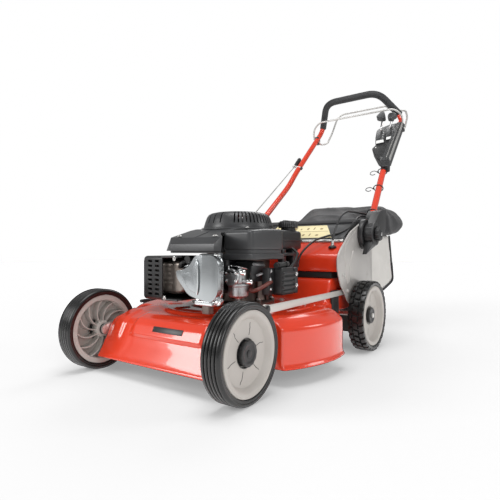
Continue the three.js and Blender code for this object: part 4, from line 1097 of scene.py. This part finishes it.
def clamps():
    """The toothed discs, the handle's sockets on them and the knobs that hold them together."""
    low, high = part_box("angle_disc_left")
    middle = (low + high) / 2
    y, z = middle[1] / MM + MACHINE_MIDDLE_Y, middle[2] / MM
    for label, side in SIDES:
        base = lathe("x", (0, y, z),
            sided(side, [(5.4, 238.6), (46.5, 238.6), (47, 240), (47, 250), (45.5, 252.6),
            (41, 253.2), (40, 250), (22, 250), (20, 253.2), (5.4, 253.2)]), 96)
        teeth = ring_of_teeth((y, z), 36, (21, 0.05), (41, 0.028), 249 * side, 252.8 * side)
        finish(merged([base, *teeth]), f"angle_disc_{label}_skin", BLACK, "chassis",
               f"angle_disc_{label}")
        # the socket's arm narrows towards the tube, and its lower tab is cut to a point
        trims = [sided_prism(side, "x", [(714, 300), (722, 450), (800, 450), (800, 300)], 248.5,
            300), sided_prism(side, "y", [(261, 276), (292, 276), (292, 346)], 560, 652)]
        socket = bevel(boolean(clone(f"handle_socket_{label}"), trims), 1.8, 3)
        ribs = ring_of_teeth((y, z), 24, (24, 0.045), (34.6, 0.035), 262 * side, 280 * side)
        ribs.append(lathe("x", (0, y, z),
            sided(side, [(23, 277), (35, 277), (35, 280), (33, 281), (24, 281)]), 64))
        finish(merged([socket, *ribs]), f"handle_socket_{label}_skin", BLACK, "handle",
               f"handle_socket_{label}")
        knob = bevel(prism("x", scallop((y, z), 21.5, 3.2, 7, 98, 0.8), 281.5 * side, 295 * side),
            2.4, 4)
        crown = lathe("x", (0, y, z), sided(side, [
            (0, 280), (13, 280), (14, 294), (12, 296.5), (8, 296.5), (7.6, 294.5), (0, 294.5)]), 48)
        finish(merged([knob, crown]), f"clamp_knob_{label}_grip", BLACK, f"clamp_knob_{label}",
               f"clamp_knob_{label}")
        nut = hex_bolt((294.4 * side, y, z), OUTWARD[side], 5.6, 4.2)
        finish(nut, f"clamp_nut_{label}", CHROME, f"clamp_knob_{label}")


# ------------------------------------------------------------------ handle
def on_handle(x, s, n):
    """The point at x across the mower, s along the upper tubes and n off them."""
    return (x, HANDLE_Y + s * ALONG_Y - n * ALONG_Z, HANDLE_Z + s * ALONG_Z + n * ALONG_Y)


def to_handle(obj):
    """Moves an object built with (x, along the tube, off the tube) as its axes onto the handle."""
    set_design(obj, *on_handle(*design(obj).T))
    edit(obj.data, face_outward)
    return obj


def beside_tube(u, x, n):
    """The point u along the left lower tube, x to its left and n off it."""
    return (224 - 0.104 * u + x, 746 + 0.7346 * u - 0.678 * n, 414 + 0.678 * u + 0.735 * n)


def mirrored(half):
    """A line from the left to the middle, and on along its mirror image."""
    return half + [(-x, y, z) for x, y, z in half[::-1]]


def handlebar():
    bar = sweep(mirrored([(228.2, 716.8, 387), (200, 915, 570), (197, 972, 635), (189, 1226, 877),
        (118, 1117, 967)]), 11, 28, bend=46, steps=8)
    finish(bar, "handlebar_tube", RED, "handle", "handlebar")
    line = fillet(mirrored([(181, 1213, 887), (118, 1117, 967)]), 46, 9, False)
    line = [line[0] * 2 - line[1], *line, line[-1] * 2 - line[-2]]
    for end, inner in ((0, 1), (-1, -2)):
        line[end] = line[inner] + (line[end] - line[inner]).normalized() * 2
    foam = sweep(line, [12.4] + [14.5] * (len(line) - 2) + [12.4], 28)
    finish(foam, "grip_foam_sleeve", FOAM, "handle", "grip_foam")

    brake = [(-184, 1172, 812), (-166, 1156, 792), (-134, 1160, 794), (-127, 1200, 853),
        (-127, 1252, 928), (-108, 1268, 953), (108, 1268, 953), (127, 1252, 928), (150, 1243, 915),
        (200, 1238, 908), (214, 1212, 870), (214, 1172, 812), (204, 1172, 812)]
    finish(sweep(brake, 3.9, 16, bend=14), "brake_bail_wire", BAIL, "brake_bail", "brake_bail")
    drive = mirrored([(207, 1172, 826), (207, 1163, 866), (176, 1155, 898)])
    finish(sweep(drive, 3.9, 16, bend=22), "drive_bail_wire", BAIL, "drive_bail", "drive_bail")
    pads = [bevel(block(-200, -182, 1160, 1186, 800, 836), 4, 3),
        bevel(block(198, 212, 1160, 1186, 800, 834), 4, 3)]
    finish(merged(pads), "bail_brackets", BLACK, "handle")


def controls():
    # all outlines here are in x and the way along the tube, with heights off it
    body = bevel(prism("z", [(203, 2), (180, 2), (160, 22), (122, 96), (119, 108), (128, 126),
        (112, 190), (104, 240), (118, 268), (146, 284), (186, 290), (203, 286)], -26, 10, 8, 5),
        3.5, 4)
    hook = bevel(prism("z", [(172, 24), (205, 24), (214, -8), (221, -44), (207, -47), (190, -42),
        (182, -18)], -15, 15, 6, 5), 3.5, 3)
    channel = bevel(prism("z", [(184, -4), (215, -4), (208, 280), (184, 280)], -15.5, 16, 3, 3), 3,
        3)
    rib = bevel(prism("z", [(196, 8), (203, 8), (199, 270), (192, 270)], 10, 18.5, 2, 2), 2, 3)
    finish(to_handle(merged([channel, rib])), "panel_channel", DARK, "handle")
    panel = to_handle(merged([body, hook]))
    finish(panel, "control_panel_shell", BLACK, "handle", "control_panel")
    frames, whites, slits = [], [], []
    for outline, white, slit in (
            ([(130, 129), (164, 134), (152, 200), (138, 253), (122, 264), (106, 242), (118, 190)],
             [(131, 132), (161, 136), (155, 158), (126, 154)], [(139, 162), (130, 238)]),
            ([(166, 149), (199, 154), (194, 220), (187, 272), (152, 269), (145, 250), (158, 200)],
             [(168, 152), (196, 156), (191, 176), (164, 172)], [(177, 180), (168, 256)])):
        frames.append(bevel(prism("z", outline, 10.5, 13.6, 8, 5), 1.2, 2))
        whites.append(prism("z", white, 13.2, 14.2, 2))
        (xa, sa), (xb, sb) = slit
        slits.append(prism("z", [(xa - 3, sa), (xa + 3, sa), (xb + 3, sb), (xb - 3, sb)], 13.4, 14,
            2.5))
        for k in range(5):
            t = 0.12 + 0.19 * k
            cx, cs = xa + (xb - xa) * t + 11, sa + (sb - sa) * t
            whites.append(prism("z", [(cx - 4, cs - 1), (cx + 2, cs - 1), (cx + 2, cs + 1),
                (cx - 4, cs + 1)], 13.4, 14))
    finish(to_handle(merged(frames)), "lever_gates", DARK, "handle")
    finish(to_handle(merged(whites)), "lever_index", WHITE, "handle")
    finish(to_handle(merged(slits)), "lever_slits", SOFT_RUBBER, "handle", slot=None)
    trims = [prism("z", [(201, 8), (203.6, 8), (199.6, 272), (197.2, 272)], 15, 19.4, 0.8),
             prism("z", [(213, 2), (216.4, 2), (210, 276), (206.6, 276)], 6, 16.6, 0.8)]
    rivet = disc("z", (136, 105, 0), 3.6, 9, 12.6, 1.2, 24)
    finish(to_handle(merged([*trims, rivet])), "panel_trim", ZINC, "handle")
    for name, x, head in (("throttle_lever", 126, [(109, 264), (120, 300), (133, 305), (142, 288),
            (154, 243), (132, 246)]),
            ("speed_lever", 163, [(167, 233), (159, 262), (162, 281), (187, 277), (201, 250),
            (180, 230)])):
        mid = (sum(p[0] for p in head) / len(head), sum(p[1] for p in head) / len(head))
        knob = bevel(prism("z", head, 49, 67, 11, 6), 7, 6, 20)
        neck = lathe("z", (mid[0], mid[1], 0), [(0, 38), (5.5, 38), (8, 50), (0, 52)], 24)
        stem = sweep([(x, 240, -29), (x, 240, 18), (mid[0], mid[1], 44)], 4.2, 16, bend=10)
        finish(to_handle(merged([knob, neck])), f"{name}_knob", DARK, name)
        finish(to_handle(stem), f"{name}_stem", CHROME, name, name)


def starter_handle():
    a, b = Vector(on_handle(-215, 44, 8)), Vector(on_handle(-215, 104, 8))
    steps = [(0, 5), (0.04, 7.6), (0.12, 8.6), (0.3, 8.2), (0.5, 8.6), (0.7, 8.2), (0.88, 8.6),
        (0.96, 7.6), (1, 5)]
    grip = sweep([a + (b - a) * t for t, _ in steps], [r for _, r in steps], 24)
    finish(grip, "starter_grip_bar", BLACK, "starter_grip", "starter_grip")
    eye = []
    for k in range(17):
        angle = 2 * math.pi * k / 16
        eye.append(on_handle(-214 + 7.5 * math.cos(angle), 36, 12 + 7.5 * math.sin(angle)))
    guide = [sweep(eye, 1.9, 12),
        sweep([on_handle(-207, 36, 12), on_handle(-197, 36, 10), on_handle(-180, 36, 0)], 3, 12)]
    finish(merged(guide), "rope_guide", ZINC, "handle")
    finish(hex_bolt(on_handle(-184, 36, 0), "x", 6, 5, 8), "rope_guide_nut", BLACK, "handle",
        slot="zinc_steel")


# ------------------------------------------------------------------ cables and rope
def straight(start, end):
    """25 points on the straight line from start to end."""
    return [Vector(start) + (Vector(end) - Vector(start)) * k / 24 for k in range(25)]


def cable(line, radius, sides=14):
    """A tube along a line, and the line in metres."""
    return sweep(line, radius, sides), [place(p) for p in line]


def cables():
    drive = [(204, 470, 313), (204, 475, 336), (203, 496, 364), (200, 538, 399), (199, 584, 417),
        (200, 632, 421), (202, 672, 421), (204, 720, 421), (205, 755, 422),
        beside_tube(45, -15, -7), beside_tube(80, -7, -14.5)]
    brake = [(120, 418, 250), (119, 424, 270), (130, 432, 297), (150, 464, 326), (176, 500, 341),
        (205, 524, 351), (221, 552, 366), (225, 590, 389), (221, 630, 403), (212, 674, 409),
        (207, 715, 411), (207, 752, 414), beside_tube(45, -10, -14.5), beside_tube(80, 3, -14.8)]
    for points, name, node in ((drive, "drive_cable_loop", "drive_cable"),
            (brake, "brake_cable_loop", "brake_cable")):
        obj, path = cable(smooth_line(points, 7), 3)
        finish(obj, name, BLACK, None, node, slot="soft_rubber")
        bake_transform(obj)
    runs = []
    for points in ([beside_tube(81.5, -7, -14.5), beside_tube(160, -7, -14.5), (193, 922, 560),
            on_handle(186, -26, -11), on_handle(180, -8, -6), on_handle(176, 5, -6)],
            [beside_tube(81.5, 3, -14.8), beside_tube(160, 3, -14.8), (202, 924, 559),
            on_handle(194, -26, -15), on_handle(185, -8, -14), on_handle(180, 0, -15)]):
        runs.append(sweep(smooth_line(points, 5), 3, 14))
    ties = [(beside_tube(u, 0, 0), Vector((-0.104, 0.7346, 0.678)), curl)
        for u, curl in ((22, 0), (165, 1))]
    ties.append(((198.7, 939, 598), Vector((-0.03, 0.66, 0.75)), 1))
    for centre, along, curl in ties:
        along.normalize()
        across = Vector((1, 0, 0))
        off = across.cross(along)
        middle = Vector(centre) - across * 3 - off * 2

        def round_tube(turn, r, shift=0.0):
            """A point round this tie's middle, on a slightly flat ring of radius r."""
            return (middle + across * (r * math.cos(turn)) + off * (0.86 * r * math.sin(turn))
                    + along * shift)

        runs.append(sweep([round_tube(2 * math.pi * k / 24, 17) for k in range(25)], 1.8, 8))
        runs.append(sweep([round_tube(math.pi, 15), round_tube(math.pi, 21)], 3, 8))
        if curl:
            loop = [round_tube(math.pi, 19)] + [round_tube(math.pi - 0.1, r, shift)
                for r, shift in ((32, 5), (43, -1), (44, -13), (34, -19), (25, -14))]
            runs.append(sweep(smooth_line(loop, 6), 1.4, 8))
    finish(merged(runs), "cable_run_on_tube", BLACK, "handle", "cable_run", slot="soft_rubber")
    finish(sweep([(204, 470, 309), (204, 472, 326)], 4.4, 16), "cable_sleeve", ZINC, "chassis")

    rope, path = cable(straight(ROPE_OUTLET, on_handle(*ROPE_GUIDE)), 1.9, 10)
    finish(rope, "starter_rope_line", ROPE, None, "starter_rope")
    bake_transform(rope)
    # past the guide the rope runs into the grip to its knot
    tail, path = cable(straight(on_handle(*ROPE_GUIDE), on_handle(-215, 76, 8)), 1.9, 10)
    finish(tail, "starter_rope_tail", ROPE, None)
    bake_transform(tail)


# ------------------------------------------------------------------ grass bag and flap
def wrinkle(obj, height):
    """Moves each point along its normal by height(x, y, z, normal) in millimetres."""
    points = zip(design(obj), read(obj, "normal"))
    push(obj, np.array([height(*p, Vector(n)) for p, n in points]))


def crease(x, y, z, scale, seed):
    """Soft folds: a ridged noise from 0 to 1."""
    v = noise.noise(Vector((x / scale, y / scale, z / scale)) + Vector((seed, seed * 2, seed * 3)))
    return (1 - min(1.0, abs(v) * 2.6)) ** 2


def bag():
    body = prism("x", [(616, 140), (760, 136), (921, 151), (1012, 172), (1038, 184), (990, 356),
        (616, 356)], -204, 204, 12)
    relax(body, 7, 6)

    def slack(x, y, z, n):
        """The cloth bulges at the sides and has shallow folds everywhere."""
        side = abs(n.x) > 0.7
        along, up = min(1, max(0, (y - 616) / 400)), min(1, max(0, (z - 140) / 216))
        t = math.sin(math.pi * along) * math.sin(math.pi * up)
        coarse, fine = crease(x, y, z, 90, 3), crease(x * 0.3, y, z * 0.5, 46, 8)
        return (2.4 * t if side else 0) + 1.6 * coarse + 1.2 * fine - 1

    wrinkle(body, slack)
    finish(body, "bag_body_cloth", LIGHT_CLOTH, "bag", "bag_body", 60)
    edges = []
    for x in (-205, 205):
        edges.append(sweep(fillet([(x, 618, 354), (x, 618, 142), (x, 760, 137), (x, 921, 152),
            (x, 1012, 173), (x, 1036, 185), (x, 990, 354)], 14, 4, False), 3.6, 12))
    finish(merged(edges), "bag_piping", PIPING, "bag", sharp=60)

    skirt = [(690, 390), (698, 325), (712, 304), (850, 344), (1015, 394), (1034, 402), (1034, 420),
        (900, 420)]
    plan = [(194, 660), (212, 660), (213, 765), (222, 800), (236, 880), (238, 960), (232, 1030),
        (194, 1034)]
    drapes = [boolean(prism("z", [(x * side, y) for x, y in plan], 280, 425),
        [prism("x", skirt, -250, 250)], "INTERSECT") for _, side in SIDES]
    top = prism("x", [(620, 357), (620, 384), (740, 424), (850, 452), (945, 466), (1010, 462),
        (1038, 440), (1030, 392), (990, 357)], -240, 240)
    waist = [(206, 616), (197, 690), (197, 795), (240, 880), (240, 1060), (-240, 1060), (-240, 880),
        (-197, 795), (-197, 690), (-206, 616)]
    arch = [(-240, 340), (240, 340), (240, 402), (212, 438), (150, 468), (-150, 468), (-212, 438),
        (-240, 402)]
    for outline in (prism("z", waist, 300, 500), prism("y", arch, 600, 1060)):
        boolean(top, [outline], "INTERSECT")
    top = relax(merged([top, *drapes]), 6, 14, 0.6)

    def folds(x, y, z, n):
        """Large folds on top, tucks everywhere, and a full corner at the left rear."""
        up = max(0.0, n.z)
        corner = math.exp(-((x - 205) / 62) ** 2 - ((y - 985) / 75) ** 2)
        big = crease(x, y, z, 165, 1.7) * 10 * (0.35 + 0.65 * up)
        tucks = crease(x * 0.8 + y * 0.3, y, z, 84, 9.1) * (5 + 5 * corner)
        return big + tucks + 12 * corner * (n.z > -0.2) - 3

    wrinkle(top, folds)
    # lower over the far front, with a higher hem at the left rear and flat beside the handle
    x, y, z = design(top).T
    level = 388 + 0.07 * (y - 620)
    full = ramp(x + 0.556 * (y - 620), 0, 90)
    z = np.where(z > level, level + (z - level) * (0.12 + 0.88 * full), z)
    hem = 344 + 0.36 * (y - 925)
    z = np.where((x > 120) & (y > 925) & (z < hem), hem + (z - hem) * 0.2, z)
    pressed = ramp(x, 150, 185) * (1 - ramp(y, 775, 835))
    z = np.where(z > 402, z - (z - 402) * pressed, z)
    set_design(top, x, y, z)
    modify(top, "SMOOTH", factor=0.5, iterations=9)
    apply(top)
    finish(top, "bag_top_cloth", BLACK_CLOTH, "bag", "bag_top", 60)
    rim = bevel(clone("bag_frame"), 1.5, 2)
    finish(rim, "bag_frame_skin", BLACK, "bag", "bag_frame")


def rear_flap():
    flap = bevel(clone("rear_flap"), 1.4, 2)
    finish(flap, "rear_flap_skin", DARK, "rear_flap", "rear_flap")
    slope = Vector((0, 600 - 498, 386 - 325)).normalized()
    up = Vector((0, -slope.z, slope.y))

    def at(x, v, n):
        """The point at x, v up the flap's slope and n off its face."""
        return Vector((x, 494, 329)) + slope * v + up * n

    def plate(x0, x1, v0, v1, n0, n1, lean=0):
        verts = [at(x, v, n) for n in (n0, n1)
                 for x, v in ((x0, v0), (x1, v0), (x1 - lean, v1), (x0, v1))]
        faces = [(0, 1, 2, 3), (4, 5, 6, 7), (0, 1, 5, 4), (1, 2, 6, 5), (2, 3, 7, 6), (3, 0, 4, 7)]
        return new_object(verts, faces)

    label = plate(-44, 186, 12, 92, -1.5, 1.6, 46)
    finish(bevel(label, 0.6), "flap_label", LABEL, "rear_flap")
    marks = [plate(-44, 158, 51, 52.6, 1.4, 1.9)]
    for row in (24, 64):
        for k in range(8):
            x = -35 + 23 * k
            wide, tall = (5, 9, 4, 7)[(k * 3 + row) % 4], (14, 8, 11)[k % 3]
            marks.append(plate(x, x + wide, row, row + tall, 1.4, 1.9))
    finish(merged(marks), "flap_label_blocks", MARK, "rear_flap")
    seal = plate(-231, 231, 99, 121, 0.5, 5.5)
    finish(bevel(seal, 1.6), "flap_seal", BLACK_CLOTH, "rear_flap", slot=None)
    hinge = sweep([(-226, 498, 325), (226, 498, 325)], 6, 20)
    finish(hinge, "flap_hinge_rod", ZINC, "rear_flap")


studio()
deck()
tower()
for label, side in SIDES:
    wheel(label, side, True)
    wheel(label, side, False)
for build in (running_gear, recoil_starter, blower_housing, air_cleaner, fuel_system, carburettor,
        engine_castings, exhaust, side_plates, clamps, handlebar, controls, starter_handle, cables,
        bag, rear_flap):
    build()
# a CAD node that nothing above stands for is shown as dark plastic
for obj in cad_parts.values():
    if not obj.hide_render:
        obj.data.materials.clear()
        obj.data.materials.append(DARK)
